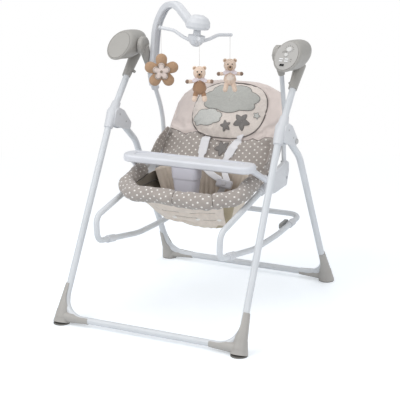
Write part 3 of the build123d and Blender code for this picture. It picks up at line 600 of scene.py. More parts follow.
flap_rows = [[flap_point(i / FLAP_STEPS, j / FLAP_STEPS) for j in range(FLAP_STEPS + 1)]
             for i in range(FLAP_STEPS + 1)]
flap_cotton = cover_cloth("flap_cotton_beige", (0.78, 0.685, 0.60), thread=0.0014, spread=0.07)
flap = skin("sling_flap", flap_rows, lambda i, j: (j * 0.0055, i * 0.0025), [flap_cotton],
            loop=False)
flap.modifiers.new("cloth", "SOLIDIFY").thickness = 0.0016
soften(flap)
fit(flap, "swing")

# Painted crease shade: thin dark brown beads along the bottoms of the flap's crease grooves stand
# in for the shade in its folds. They are not sewn tucks or thread.
crease_shade_finish = cover_cloth("painted_crease_shade_brown", (0.24, 0.185, 0.14), thread=0.0008)
CREASE_SHADE_STEPS, CREASE_SHADE_PROUD = 24, 0.0019
for number, (level, start, end, _) in enumerate(CREASES[:4]):
    crease_shade_line = []
    for k in range(CREASE_SHADE_STEPS + 1):
        along = start + (end - start) * (0.12 + 0.76 * k / CREASE_SHADE_STEPS)
        crease_shade_line.append(flap_point(level + CREASE_WAVE * math.sin(along * 5), along, CREASE_SHADE_PROUD))
    fit(beading(f"flap_painted_crease_shade_{number + 1}", crease_shade_line, 0.0012, crease_shade_finish, sides=6),
        "swing")

SNAP_DOWN, SNAP_PROUD, SNAP_SIDES = 0.74, 0.0006, 28
SNAP_PROFILE = [(0.00001, 0.0050), (0.0030, 0.0047), (0.0038, 0.0036), (0.0056, 0.0034),
                (0.0074, 0.0022), (0.0078, 0.0), (0.00001, 0.0)]
snap_plastic = hard_finish("snap_plastic_cream", (0.90, 0.87, 0.83), 0.3, 0.0006, 0.00002)
for number, along in enumerate((0.34, 0.56, 0.90)):
    spot = flap_point(SNAP_DOWN, along, SNAP_PROUD)
    ahead = flap_point(SNAP_DOWN, along + 0.03, SNAP_PROUD)
    down = flap_point(SNAP_DOWN + 0.06, along, SNAP_PROUD)
    face = (down - spot).cross(ahead - spot).normalized()
    if face.y > 0:
        face.negate()
    spin = face.to_track_quat("Z", "Y")
    rings = [[spot + spin @ Vector((r * math.cos(a), r * math.sin(a), height))
              for a in turns(SNAP_SIDES)] for r, height in SNAP_PROFILE]
    snap = skin(f"snap_{number + 1}", rings, lambda i, j: (j / SNAP_SIDES, i / 10), [snap_plastic])
    fit(snap, "swing")

# Seat pad
# A loose stuffed pad in the bottom of the sling, covered in the brown lining cloth.
# It is crowned in the middle and drawn in along its edge seam.

PAD_Y, PAD_HALF = 0.054, (0.090, 0.055)
PAD_LOW, PAD_HIGH = 0.2685, 0.314
PAD_SIDES, PAD_ROWS, PAD_SQUARE = 72, 20, 0.75
pad_rings = []
for i in range(PAD_ROWS + 1):
    a = math.pi * i / PAD_ROWS
    spread = 0.30 + 0.70 * math.sin(a) ** 0.6 if 0 < i < PAD_ROWS else 0.08
    squeeze = 0.74 if i < 4 else 1.0
    height = (PAD_LOW + PAD_HIGH) / 2 - math.cos(a) * (PAD_HIGH - PAD_LOW) / 2
    half = [size * spread * squeeze for size in PAD_HALF]
    pad_rings.append([Vector((half[0] * squared(math.cos(b), PAD_SQUARE),
                              PAD_Y + half[1] * squared(math.sin(b), PAD_SQUARE), height))
                      for b in turns(PAD_SIDES)])
seat_pad = skin("seat_cushion", pad_rings, lambda i, j: (j * 0.006, i * 0.005), [lining_brown],
                caps=True)
soften(seat_pad)
fit(seat_pad, "swing", "seat_pad")

# Side wings
# Small padded flaps of the dotted cotton beside the seat, tied to the side hubs.
# They close the gap between the rim and the back.

WING_OUTLINE = [(0.018, 0.464), (0.062, 0.496), (0.112, 0.539), (0.150, 0.562), (0.174, 0.553),
                (0.166, 0.520), (0.146, 0.488), (0.112, 0.470)]
WING_MIDDLE = Vector((0.0, 0.112, 0.513))
WING_INNER, WING_OUTER = 0.2085, 0.2168
WING_SIDES, WING_ROWS = 80, 14
WING_LEAN, LEAN_FROM, LEAN_OVER = 0.013, 0.505, 0.05
wing_corners = [Vector((0.0, y, z)) for y, z in WING_OUTLINE]
wing_start = len(rounded_line(wing_corners[:2], 0.010, 0.004)) // 2
wing_loop = rounded_line(wing_corners + wing_corners[:2], 0.010, 0.004)[wing_start:]
wing_edge = [wing_loop[int(k * (len(wing_loop) - 1) / WING_SIDES)] for k in range(WING_SIDES)]
for side, word in SIDES:
    rings = []
    for i in range(WING_ROWS + 1):
        a = math.pi * i / WING_ROWS
        reach = 0.06 + 0.94 * math.sin(a) ** 0.45 if 0 < i < WING_ROWS else 0.03
        depth = (WING_INNER + WING_OUTER) / 2 - math.cos(a) * (WING_OUTER - WING_INNER) / 2
        ring = []
        for corner in wing_edge:
            p = WING_MIDDLE + (corner - WING_MIDDLE) * reach
            lean = WING_LEAN * min(1.0, max(0.0, (p.z - LEAN_FROM) / LEAN_OVER)) ** 2
            ring.append(p + Vector((side * (depth - lean), 0, 0)))
        rings.append(ring)
    wing = skin(f"side_wing_{word}", rings, lambda i, j: rings[i][j % WING_SIDES].yz,
                [dotted_taupe], caps=True)
    soften(wing)
    fit(wing, "swing", "side_wings" if side == 1 else None)

# Harness
# White woven webbing with padded sleeves for the shoulders and a moulded buckle in the lap.
# The lap straps come out of the seat's sides and are clicked into the buckle.

webbing = cover_cloth("webbing_white", (0.80, 0.79, 0.81), thread=0.0018, spread=0.03, sheen=0.15)
WEB_EDGE = 0.0008


def ribbon(name, line, faces, widths, thickness, finish):
    """Flat webbing along points, each with the direction that its face looks to and its width."""
    rings = []
    for i, place in enumerate(line):
        along = heading(line, i)
        across = along.cross(faces[i]).normalized()
        up = across.cross(along).normalized()
        w, t = widths[i] / 2, thickness / 2
        upper = [-w + WEB_EDGE, -w / 2, 0, w / 2, w - WEB_EDGE]
        section = [(-w, 0)] + [(a, t) for a in upper]
        section += [(w, 0)] + [(a, -t) for a in reversed(upper)]
        rings.append([place + across * a + up * b for a, b in section])
    spans = [0.0]
    for a, b in zip(line, line[1:]):
        spans.append(spans[-1] + (b - a).length)
    return skin(name, rings, lambda i, j: (j * 0.003, spans[i]), [finish], caps=True)


BUCKLE = Vector((0.038, 0.006, 0.318))
LAP_WIDTH, LAP_STEPS, LAP_BOW = 0.024, 16, 0.005
for side, word in SIDES:
    start = Vector((side * 0.1175, 0.048, 0.3205))
    end = BUCKLE + Vector((side * 0.021, 0.004, 0.006))
    line = [start.lerp(end, k / LAP_STEPS)
            + Vector((0, 0, LAP_BOW * math.sin(math.pi * k / LAP_STEPS)))
            for k in range(LAP_STEPS + 1)]
    lap = ribbon(f"lap_strap_{word}", line, [Vector((0, -0.3, 0.95))] * len(line),
                 [LAP_WIDTH] * len(line), 0.0022, webbing)
    fit(lap, "swing", "harness_straps" if side == 1 else None)

buckle_plastic = hard_finish("buckle_plastic_pale", (0.77, 0.76, 0.80), 0.38, 0.0006, 0.00003)
dress(buckle_plastic, "harness_buckle")

# Back cushion
# A wide foam back in two cloths: plain pink-beige above, dotted taupe below a scalloped seam.
# It is crowned at the front, drawn in along its sides, and edged with a thin rolled piping.

LEAN = math.radians(50.6)
BACK_FOOT = Vector((0.0, 0.172, 0.549))
BACK_UP = Vector((0, math.cos(LEAN), math.sin(LEAN)))
BACK_FRONT = Vector((0, -math.sin(LEAN), math.cos(LEAN)))
BACK_ROWS = [(-0.168, 0.196, -0.006, 0.032), (-0.150, 0.205, 0.000, 0.040),
             (-0.060, 0.211, 0.005, 0.046), (0.030, 0.210, 0.006, 0.046),
             (0.110, 0.207, 0.006, 0.046), (0.150, 0.194, 0.004, 0.044),
             (0.185, 0.160, 0.000, 0.041), (0.206, 0.115, -0.006, 0.036),
             (0.216, 0.076, -0.013, 0.031)]
BACK_LOW, BACK_HIGH = BACK_ROWS[0][0], BACK_ROWS[-1][0]
BACK_EDGE, BACK_REAR = -0.014, 0.026
BACK_COLUMNS = 64
LOW_ROWS, HIGH_ROWS = 26, 36
SINK, SINK_WIDTH = 0.0055, 0.006
SWELL, SWELL_AT, SWELL_WIDTH = 0.0030, -0.020, 0.014
BACK_UNEVEN = 0.0022
SCALLOPS = [(-0.225, 0.014), (-0.178, -0.001), (-0.132, -0.016), (-0.116, -0.008), (-0.090, -0.004),
            (-0.060, -0.016), (0.0, -0.030), (0.060, -0.026), (0.098, -0.019), (0.118, -0.008),
            (0.140, -0.014), (0.160, 0.002), (0.184, 0.004), (0.210, -0.012), (0.225, -0.016)]


def back_place(x, t, n):
    """A point of the backrest: across, up the lean, and forward of its face."""
    return BACK_FOOT + Vector((x, 0, 0)) + BACK_UP * t + BACK_FRONT * n


def lean_skin(name, rows, finishes, **options):
    """A skin from rows of places on the lean, its cloth laid out as it lies there."""
    return skin(name, [[back_place(*p) for p in row] for row in rows],
                lambda i, j: rows[i][j % len(rows[i])][:2], finishes, **options)


def along_rows(rows, key):
    """The row at one value of its first column, mixed from the listed ones."""
    for a, b in zip(rows, rows[1:]):
        if key <= b[0]:
            f = max(0.0, (key - a[0]) / (b[0] - a[0]))
            return [p + f * (q - p) for p, q in zip(a, b)]
    return list(rows[-1])


def scallop(x):
    """Height of the seam between the two cloths."""
    return along_rows(SCALLOPS, x)[1]


def back_share(x, t):
    """The back's row at a height, the share of its width and the crown there."""
    row = along_rows(BACK_ROWS, t)
    share = min(1.0, abs(x) / row[1])
    return row, share, (1 - share ** 3.2) ** 0.62


def back_depth(x, t):
    """How far forward the cushion's face stands."""
    row, share, crown = back_share(x, t)
    depth = BACK_EDGE + (row[2] + 0.004 - BACK_EDGE) * crown
    seam = t - scallop(x)
    depth -= SINK * bump_at(seam, 0.0, SINK_WIDTH) * min(1.0, 3 * (1 - share))
    depth += SWELL * bump_at(seam, SWELL_AT, SWELL_WIDTH) * (1 - share ** 4)
    depth += BACK_UNEVEN * noise.noise(Vector((x * 14, t * 14, 0.3))) * (1 - share ** 4)
    return depth


def back_rear(x, t):
    row, _, crown = back_share(x, t)
    return -BACK_REAR - (row[3] - BACK_REAR) * crown


def back_ring(i):
    """One round of the cushion: over its face from side to side, then back behind it."""
    ring = []
    for side, depth in ((1, back_depth), (-1, back_rear)):
        for j in range(BACK_COLUMNS):
            spread = -side * math.cos(math.pi * (j + 0.5) / BACK_COLUMNS)
            t = BACK_LOW
            for _ in range(3):
                seam = scallop(spread * along_rows(BACK_ROWS, t)[1])
                t = BACK_LOW + (seam - BACK_LOW) * i / LOW_ROWS
                if i > LOW_ROWS:
                    t = seam + (BACK_HIGH - seam) * (i - LOW_ROWS) / HIGH_ROWS
            x = spread * along_rows(BACK_ROWS, t)[1]
            ring.append((x, t, depth(x, t)))
    return ring


back_rings = [back_ring(i) for i in range(LOW_ROWS + HIGH_ROWS + 1)]
END_DEPTH, END_SHARE, END_LIFT = -0.020, 0.35, 0.003
ends = [[(x, t + lift, END_DEPTH + (n - END_DEPTH) * END_SHARE) for x, t, n in ring]
        for ring, lift in ((back_rings[0], -END_LIFT), (back_rings[-1], END_LIFT))]
back_rings = [ends[0]] + back_rings + [ends[1]]
back_beige = cover_cloth("back_cotton_beige", (0.73, 0.64, 0.60), thread=0.0012, spread=0.035)
back_cushion = lean_skin("back_padding", back_rings, [dotted_taupe, back_beige], caps=True,
                         part=lambda i, j: 0 if i <= LOW_ROWS else 1)
back_held = []
for i in range(len(back_rings)):
    whole = i < 3 or i > len(back_rings) - 4 or i == LOW_ROWS + 1
    back_held += [i * 2 * BACK_COLUMNS + j for j in range(2 * BACK_COLUMNS)
                  if whole or j < 2 or j > BACK_COLUMNS - 3]
plump(back_cushion, back_held, 0.06, 0.15, 0.0045)
soften(back_cushion)
fit(back_cushion, "backrest", "back_cushion")


def settled_face(piece, plain):
    """How far forward a settled cover stands at places on the lean, to lay trims on it."""
    face = BVHTree.FromPolygons([v.co.copy() for v in piece.data.vertices],
                                [tuple(p.vertices) for p in piece.data.polygons])

    def stand(x, t):
        spot = face.ray_cast(back_place(x, t, 0.08), -BACK_FRONT)[0]
        return (spot - BACK_FOOT).dot(BACK_FRONT) if spot else plain(x, t)
    return stand


on_back = settled_face(back_cushion, back_depth)
thread_dark = cover_cloth("thread_dark", (0.15, 0.13, 0.12), thread=0.0008)
SCALLOP_HALF, SCALLOP_STEPS = 0.203, 120
seam_line = []
for k in range(SCALLOP_STEPS + 1):
    x = -SCALLOP_HALF + 2 * SCALLOP_HALF * k / SCALLOP_STEPS
    t = scallop(x)
    seam_line.append(back_place(x, t, on_back(x, t) + 0.0006))
fit(beading("scallop_tape", seam_line, 0.0013, thread_dark), "backrest")

TOP_TURN, EDGE_STEPS = 1.18, 160
EDGE_LOW, EDGE_RISE, EDGE_DEPTH = -0.160, 0.376, -0.019
edge_line = []
for k in range(EDGE_STEPS + 1):
    spread = k / EDGE_STEPS
    side = 1 if spread < 0.5 else -1
    reach = min(spread, 1 - spread) * 2
    t = EDGE_LOW + EDGE_RISE * min(1.0, reach * TOP_TURN) ** 0.94
    half = along_rows(BACK_ROWS, t)[1]
    if reach * TOP_TURN > 1.0:
        half *= (1 - reach) / (1 - 1 / TOP_TURN)
    edge_line.append(back_place(side * (half + 0.0005), t, EDGE_DEPTH))
fit(beading("back_piping", edge_line, 0.0022, back_beige), "backrest")

# Head cushion
# A soft oval pillow sewn to the back along its top, with a grey appliqué sky of its own.
# Its cover is short velour, drawn in at the edge seam.

PILLOW = Vector((0.008, 0.086))
PILLOW_HALF = (0.134, 0.108)
PILLOW_SIDES, PILLOW_ROWS, PILLOW_SQUARE = 96, 18, 2.6
PILLOW_RIM, PILLOW_CROWN = 0.011, 0.027
PUCKER, PUCKERS, PILLOW_UNEVEN = 0.0012, 29, 0.002


def pillow_reach(angle):
    """The pillow's outline, a softened rectangle."""
    c, s = math.cos(angle), math.sin(angle)
    r = (abs(c) ** PILLOW_SQUARE + abs(s) ** PILLOW_SQUARE) ** (-1 / PILLOW_SQUARE)
    return Vector((PILLOW_HALF[0] * c * r, PILLOW_HALF[1] * s * r))


def pillow_depth(x, t):
    """How far forward the pillow's face stands."""
    d = Vector((x, t)) - PILLOW
    angle = math.atan2(d.y / PILLOW_HALF[1], d.x / PILLOW_HALF[0])
    share = min(1.0, d.length / pillow_reach(angle).length)
    pucker = PUCKER * math.sin(angle * PUCKERS) * share ** 5 * (1 - share ** 8)
    crown = PILLOW_RIM + PILLOW_CROWN * (1 - share ** 2.6) ** 0.6
    return crown + pucker + PILLOW_UNEVEN * noise.noise(Vector((x, t, 0.7)) * 18)


def pillow_row(share, depth):
    spots = [PILLOW + pillow_reach(a) * share for a in turns(PILLOW_SIDES)]
    return [(p.x, p.y, depth(p.x, p.y)) for p in spots]


def velour(name, colour, nap=0.0016, spread=0.06):
    """Short brushed pile: soft bumps and a strong pale sheen."""
    finish, tree, shader = blank_finish(name)
    place = add_node(tree, "TexCoord").outputs["Object"]
    feed(tree, shader, Base_Color=mottle(tree, place, colour, spread, size=0.006),
         Roughness=0.95, Sheen_Weight=0.45, Sheen_Roughness=0.4)
    grain(tree, place, shader, nap, nap * 0.6, strength=0.5)
    return finish


pillow_rings = [pillow_row(0.02 + 0.98 * math.sin(math.pi / 2 * i / PILLOW_ROWS), pillow_depth)
                for i in range(PILLOW_ROWS + 1)]
for share, lift in ((1.0, 0.004), (0.97, 0.001), (0.5, 0.001), (0.05, 0.001)):
    pillow_rings.append(pillow_row(share, lambda x, t: back_depth(x, t) + lift))
pillow_velour = velour("pillow_velour_cream", (0.76, 0.685, 0.63))
pillow = lean_skin("head_cushion", pillow_rings, [pillow_velour], caps=True)
pillow_held = range(PILLOW_ROWS * PILLOW_SIDES, len(pillow_rings) * PILLOW_SIDES)
plump(pillow, list(pillow_held), 0.05, 0.15, 0.0035)
soften(pillow)
fit(pillow, "backrest", "head_pillow")

on_pillow = settled_face(pillow, pillow_depth)
pillow_edge = [PILLOW + pillow_reach(a) for a in turns(120, 1)]
pillow_edge = [back_place(p.x, p.y, PILLOW_RIM + 0.0005) for p in pillow_edge]
fit(beading("pillow_piping", pillow_edge, 0.0022, thread_dark), "backrest")

# Appliqué sky
# A big puffy cloud with a small one and a few stars, cut from grey velour and sewn on.
# Each is stitched round with a dark thread.

PATCH_PROFILE = ((0.02, 0.0022), (0.3, 0.0022), (0.6, 0.0022), (0.85, 0.0020), (0.96, 0.0016),
                 (1.0, 0.0002))
PATCH_SIDES = 90


def cloud_edge(angle):
    """A cloud of round puffs on a flatter foot."""
    puff = 0.86 + 0.14 * abs(math.sin(angle * 3.5 + 0.5))
    foot = 0.72 if math.sin(angle) < -0.2 else 1.0
    return puff, puff * foot


def star_edge(angle):
    point = abs(((angle + math.pi / 2) * 5 / (2 * math.pi)) % 1.0 - 0.5) * 2
    r = 0.5 + 0.5 * point ** 1.3
    return r, r


def patch(name, edge, middle, size, finish, turn=0.0, surface=on_pillow):
    """A cut-out lying on the pillow or the back, with its stitched edge."""
    def lay(angle, share, lift):
        rx, ry = edge(angle)
        v = Vector((math.cos(angle) * rx * size[0], math.sin(angle) * ry * size[1]))
        p = Vector(middle) + (Matrix.Rotation(turn, 2) @ v) * share
        return p.x, p.y, surface(p.x, p.y) + lift
    rows = [[lay(a, share, lift) for a in turns(PATCH_SIDES)] for share, lift in PATCH_PROFILE]
    stitch = [back_place(*lay(a, 0.985, 0.0014)) for a in turns(PATCH_SIDES, 1)]
    for piece in (lean_skin(name, rows, [finish]),
                  beading(name + "_stitch", stitch, 0.0008, thread_dark, sides=6)):
        fit(piece, "backrest")


cloud_velour = velour("cloud_velour_grey", (0.475, 0.475, 0.445))
deep_velour = velour("star_velour_dark", (0.235, 0.22, 0.21))
pale_velour = velour("cloud_velour_pale", (0.60, 0.60, 0.57))
patch("cloud_large", cloud_edge, (0.010, 0.112), (0.110, 0.072), cloud_velour)
patch("cloud_small", cloud_edge, (-0.054, 0.036), (0.058, 0.038), pale_velour, turn=0.12)
patch("star_large", star_edge, (0.074, 0.036), (0.031, 0.031), deep_velour, turn=0.2)
patch("star_middle", star_edge, (0.022, 0.014), (0.020, 0.020), deep_velour, turn=-0.3)
patch("star_small", star_edge, (0.118, 0.068), (0.012, 0.012), pale_velour, turn=0.4)
patch("star_low", star_edge, (0.020, -0.058), (0.030, 0.030), deep_velour, turn=-0.15,
      surface=on_back)

# Shoulder straps
# Webbing that comes out under the head cushion, with a quilted white sleeve on each strap.
# The lower ends run down into the seat to the clip, bowing where they leave the back.

STRAPS = {"right": [(0.079, 0.000), (0.070, -0.030), (0.058, -0.070), (0.048, -0.104)],
          "left": [(-0.046, 0.000), (-0.045, -0.030), (-0.044, -0.070), (-0.043, -0.104)]}
STRAP_TAILS = {"right": ((0.060, 0.050, 0.444), (0.096, 0.012, 0.426)),
               "left": ((-0.010, 0.046, 0.444), (0.070, 0.014, 0.430))}
STRAP_WIDTH, SLEEVE_MORE = 0.022, 0.010
STRAP_STEPS, TAIL_STEPS, SLEEVE = 27, 18, range(8, 23)
STRAP_LIFT, STRAP_MEAN = 0.0025, 0.026


def bow(a, b, c, share):
    """A point of the curve from a to c that is drawn towards b."""
    return a.lerp(b, share).lerp(b.lerp(c, share), share)


for word, route in STRAPS.items():
    line, looks, widths = [], [], []
    for k in range(STRAP_STEPS + 1):
        x, t = between(route, k / STRAP_STEPS)
        line.append(back_place(x, t, on_back(x, t) + STRAP_LIFT))
        looks.append(BACK_FRONT)
        widths.append(STRAP_WIDTH + (SLEEVE_MORE if k in SLEEVE else 0.0))
    first = line[-1]
    knee, tail_end = map(Vector, STRAP_TAILS[word])
    for k in range(1, TAIL_STEPS + 1):
        share = k / TAIL_STEPS
        line.append(bow(first, knee, tail_end, share))
        looks.append(BACK_FRONT.lerp(Vector((0, -0.75, 0.66)), share))
        widths.append(STRAP_WIDTH)
    strap = ribbon(f"shoulder_strap_{word}", line, looks, widths, 0.0030, webbing)
    soften(strap)
    if word == "right":
        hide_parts("shoulder_straps")
    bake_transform(strap)

CLIP = Vector((0.086, 0.006, 0.420))
clip_up = Vector((0.10, 0.55, 0.80)).normalized()
clip_across = Vector((0.97, 0.05, -0.16))
clip_across = (clip_across - clip_up * clip_across.dot(clip_up)).normalized()
clip_out = clip_across.cross(clip_up)
clip_body = block("strap_clip", CLIP, clip_across, clip_up, (0.056, 0.030, 0.016), buckle_plastic)
clip_key = block("strap_clip_key", CLIP + clip_out * 0.007, clip_across, clip_up,
                 (0.018, 0.015, 0.005), webbing)
line = [bow(CLIP - clip_up * 0.010, Vector((0.074, -0.004, 0.384)),
            BUCKLE + Vector((0.004, 0.002, 0.022)), k / 12) for k in range(13)]
crotch_strap = ribbon("crotch_strap", line, [Vector((0, -0.9, 0.4))] * len(line),
                      [STRAP_WIDTH] * len(line), 0.0026, webbing)
for piece, slot in ((clip_body, "buckle_plastic"), (clip_key, "strap_webbing"),
                    (crotch_strap, "strap_webbing")):
    fit(piece, "swing")

# Gathered skirt
# A cream cotton skirt sewn to the foot of the back, which hides the gap behind the seat.
# It is gathered along its top, so it falls in small upright folds.

SKIRT_ROWS, SKIRT_TOP, SKIRT_FALL, SKIRT_TAPER = 14, 0.449, 0.122, 0.30
SKIRT_FOLD, SKIRT_LEAN = 0.0042, 0.012
SKIRT_CORNERS = [(-0.167, -0.006), (-0.167, 0.063), (0.167, 0.063), (0.167, -0.006)]
skirt_cotton = cover_cloth("skirt_cotton_cream", (0.69, 0.60, 0.51), thread=0.0012)
skirt_top = rounded_line([Vector((x, y, SKIRT_TOP)) for x, y in SKIRT_CORNERS], 0.055, 0.0028)
skirt_rows = []
for i in range(SKIRT_ROWS + 1):
    share = i / SKIRT_ROWS
    row = []
    for j, place in enumerate(skirt_top):
        along = heading(skirt_top, j)
        fold = math.sin(j * 0.82 + 3.0 * noise.noise(Vector((j * 0.09, 0.3 * share, 0.4))))
        spot = place + Vector((-along.y, along.x, 0)) * (SKIRT_FOLD * fold * (0.15 + 0.85 * share))
        row.append(Vector((spot.x * (1 - SKIRT_TAPER * share), spot.y - SKIRT_LEAN * share,
                           spot.z - SKIRT_FALL * share)))
    skirt_rows.append(row)
skirt = skin("gathered_skirt", skirt_rows, lambda i, j: (j * 0.0032, i * 0.008), [skirt_cotton],
             loop=False)
skirt.modifiers.new("cloth", "SOLIDIFY").thickness = 0.0014
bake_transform(skirt)

# Tray
# A white moulded bar with a shallow dish and two arms that plug into the seat hubs.
# A hollow post under its middle keeps the child from sliding out.

tray_plastic = hard_finish("tray_plastic_white", (0.74, 0.75, 0.79), 0.34, 0.0009, 0.00003)
post_plastic = hard_finish("post_plastic_white", (0.66, 0.645, 0.71), 0.4, 0.0009, 0.00003)
dress(tray_plastic, "tray")
dress(post_plastic, "tray_post")

# Mobile
# A white moulded arch clamps on the left swing arm and carries a small motor dome.
# The rotor under it turns three curved arms, and a toy hangs from each on a thin string.

dress(white_moulding, "mobile_clamp", "mobile_arm", "mobile_dome", "mobile_rotor")

# Toy strings
# Thin twisted cotton cord, knotted into each arm's tip and sewn into the toy below.
# The toys' weight keeps them straight.

STRING_WIDTH = 0.0012
STRINGS = {"flower": 0.0783, "bear": 0.0723, "doll": 0.0763}
string_finish, tree, shader = blank_finish("cotton_string")
place = add_node(tree, "TexCoord").outputs["Object"]
feed(tree, shader, Base_Color=mottle(tree, place, (0.72, 0.69, 0.66), 0.06, 0.004), Roughness=0.9)
grain(tree, place, shader, 0.0005, 0.0002)
toy_tops = {}
for toy, length in STRINGS.items():
    low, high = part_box(f"{toy}_string")
    top = Vector(((low[0] + high[0]) / 2, (low[1] + high[1]) / 2, high[2]))
    toy_tops[toy] = top - Vector((0, 0, 1)) * length
    curve = adjust(bpy.data.curves.new(f"{toy}_cord", "CURVE"), dimensions="3D",
                   bevel_depth=STRING_WIDTH / 2, bevel_resolution=3, use_fill_caps=True)
    thread = curve.splines.new("NURBS")
    thread.points.add(3)
    for point, share in zip(thread.points, (0.0, 0.3, 0.7, 1.0)):
        point.co = (*(top - Vector((0, 0, length * share))), 1.0)
    adjust(thread, order_u=3, use_endpoint_u=True)
    cord = put(f"{toy}_cord", curve)
    curve.materials.append(string_finish)
    fit(cord, toy, f"{toy}_string")

# Plush flower
# Five stuffed petals of brown felt round a middle, with a small pink flower sewn on the front.
# A stitched button marks its centre, and the string is sewn into the top petal.

TOY_FACE = Vector((0.44, -0.898, 0))
TOY_WIDE = Vector((0.898, 0.44, 0))
TOY_UP = Vector((0, 0, 1))
LUMP_SIDES, LUMP_ROWS = 24, 8


def toy_spot(base, wide, face, up):
    return base + TOY_WIDE * wide + TOY_FACE * face + TOY_UP * up


def ball(place, r, flat=1.0, part=0):
    return place, place, r, r, flat, part


def lump(a, b, r1, r2, flat):
    """Rings of a stuffed limb from a to b, thinner to the front and back by the share flat."""
    axis = (b - a).normalized() if (b - a).length > 1e-6 else TOY_UP
    side = axis.cross(TOY_FACE)
    side = side.normalized() if side.length > 0.1 else TOY_WIDE.copy()
    other = side.cross(axis).normalized()
    rings = []
    for middle, r, low in ((a, r1, -90), (b, r2, 0)):
        for k in range(LUMP_ROWS):
            lean = math.radians(low + 90 * k / (LUMP_ROWS - 1))
            ring = []
            for turn in turns(LUMP_SIDES):
                p = (axis * math.sin(lean)
                     + (side * math.cos(turn) + other * math.sin(turn)) * math.cos(lean))
                p -= TOY_FACE * p.dot(TOY_FACE) * (1 - flat)
                ring.append(middle + p * r)
            rings.append(ring)
    return rings


def stuffed(name, lumps, finishes):
    """One sewn piece from lumps (a, b, r1, r2, flat, number of its finish)."""
    points, faces, corners, parts = [], [], [], []
    for *form, part in lumps:
        rings = lump(*form)
        start, n = len(points), LUMP_SIDES
        points += [p + Vector((1, 1, 1)) * 0.0003 * noise.noise(p * 420) for ring in rings
                   for p in ring]
        for i in range(len(rings) - 1):
            low, high = start + i * n, start + (i + 1) * n
            for j in range(n):
                k = (j + 1) % n
                faces.append((low + j, low + k, high + k, high + j))
                corners += [(u / n, v / 8)
                            for u, v in ((j, i), (j + 1, i), (j + 1, i + 1), (j, i + 1))]
                parts.append(part)
    piece = piece_from(name, points, faces, corners, finishes, parts)
    soften(piece)
    return piece


PETAL_OUT, PETAL_R = 0.0180, 0.0112
FACE_LIFT = 0.0150
felt_brown = velour("felt_brown", (0.47, 0.30, 0.185), nap=0.0012)
felt_pink = velour("felt_pink", (0.78, 0.66, 0.60), nap=0.0012)
felt_grey = velour("felt_grey_brown", (0.32, 0.26, 0.21), nap=0.0012)
flower_middle = toy_tops["flower"] - TOY_UP * 0.057
petals = [ball(flower_middle, 0.021, 0.75)]
inner = [ball(toy_spot(flower_middle, 0, 0.0160, 0), 0.010, 0.35)]
root = toy_spot(flower_middle, 0, FACE_LIFT, 0)
for k in range(5):
    angle = math.radians(90 + 72 * k)
    out = TOY_WIDE * math.cos(angle) + TOY_UP * math.sin(angle)
    petals.append((flower_middle + out * 0.012, flower_middle + out * 0.0378, 0.0155, 0.0196,
                   0.72, 0))
    inner.append((root + out * 0.004, root + out * PETAL_OUT - TOY_FACE * 0.0008, 0.0080, PETAL_R,
                  0.40, 0))
fit(stuffed("plush_flower", petals, [felt_brown]), "flower", "flower_toy")
fit(stuffed("flower_face", inner, [felt_pink]), "flower")
heart = ball(toy_spot(flower_middle, 0, 0.0192, 0), 0.0048, 0.5)
fit(stuffed("flower_button", [heart], [felt_grey]), "flower")


def petal_line(inset, face):
    """A line of stitches that follows the small flower's edge."""
    line = []
    for k, turn in enumerate(turns(100, 1)):
        off = math.radians((3.6 * k - 54) % 72 - 36)
        reach = PETAL_OUT * math.cos(off) - inset
        reach += math.sqrt(PETAL_R ** 2 - (PETAL_OUT * math.sin(off)) ** 2)
        line.append(toy_spot(flower_middle, reach * math.cos(turn), face, reach * math.sin(turn)))
    return line


for name, inset, face, thick in (("flower_edge", 0.0, FACE_LIFT, 0.0009),
                                 ("flower_stitch", 0.0034, 0.0181, 0.0008)):
    fit(beading(name, petal_line(inset, face), thick, felt_grey, sides=6, taper=False),
        "flower")

# Plush bears
# Two small stuffed bears of pink-beige velour, one in brown trousers, each with a pale neckerchief.
# Heads, bodies and limbs are sewn and filled apart, then stitched together.

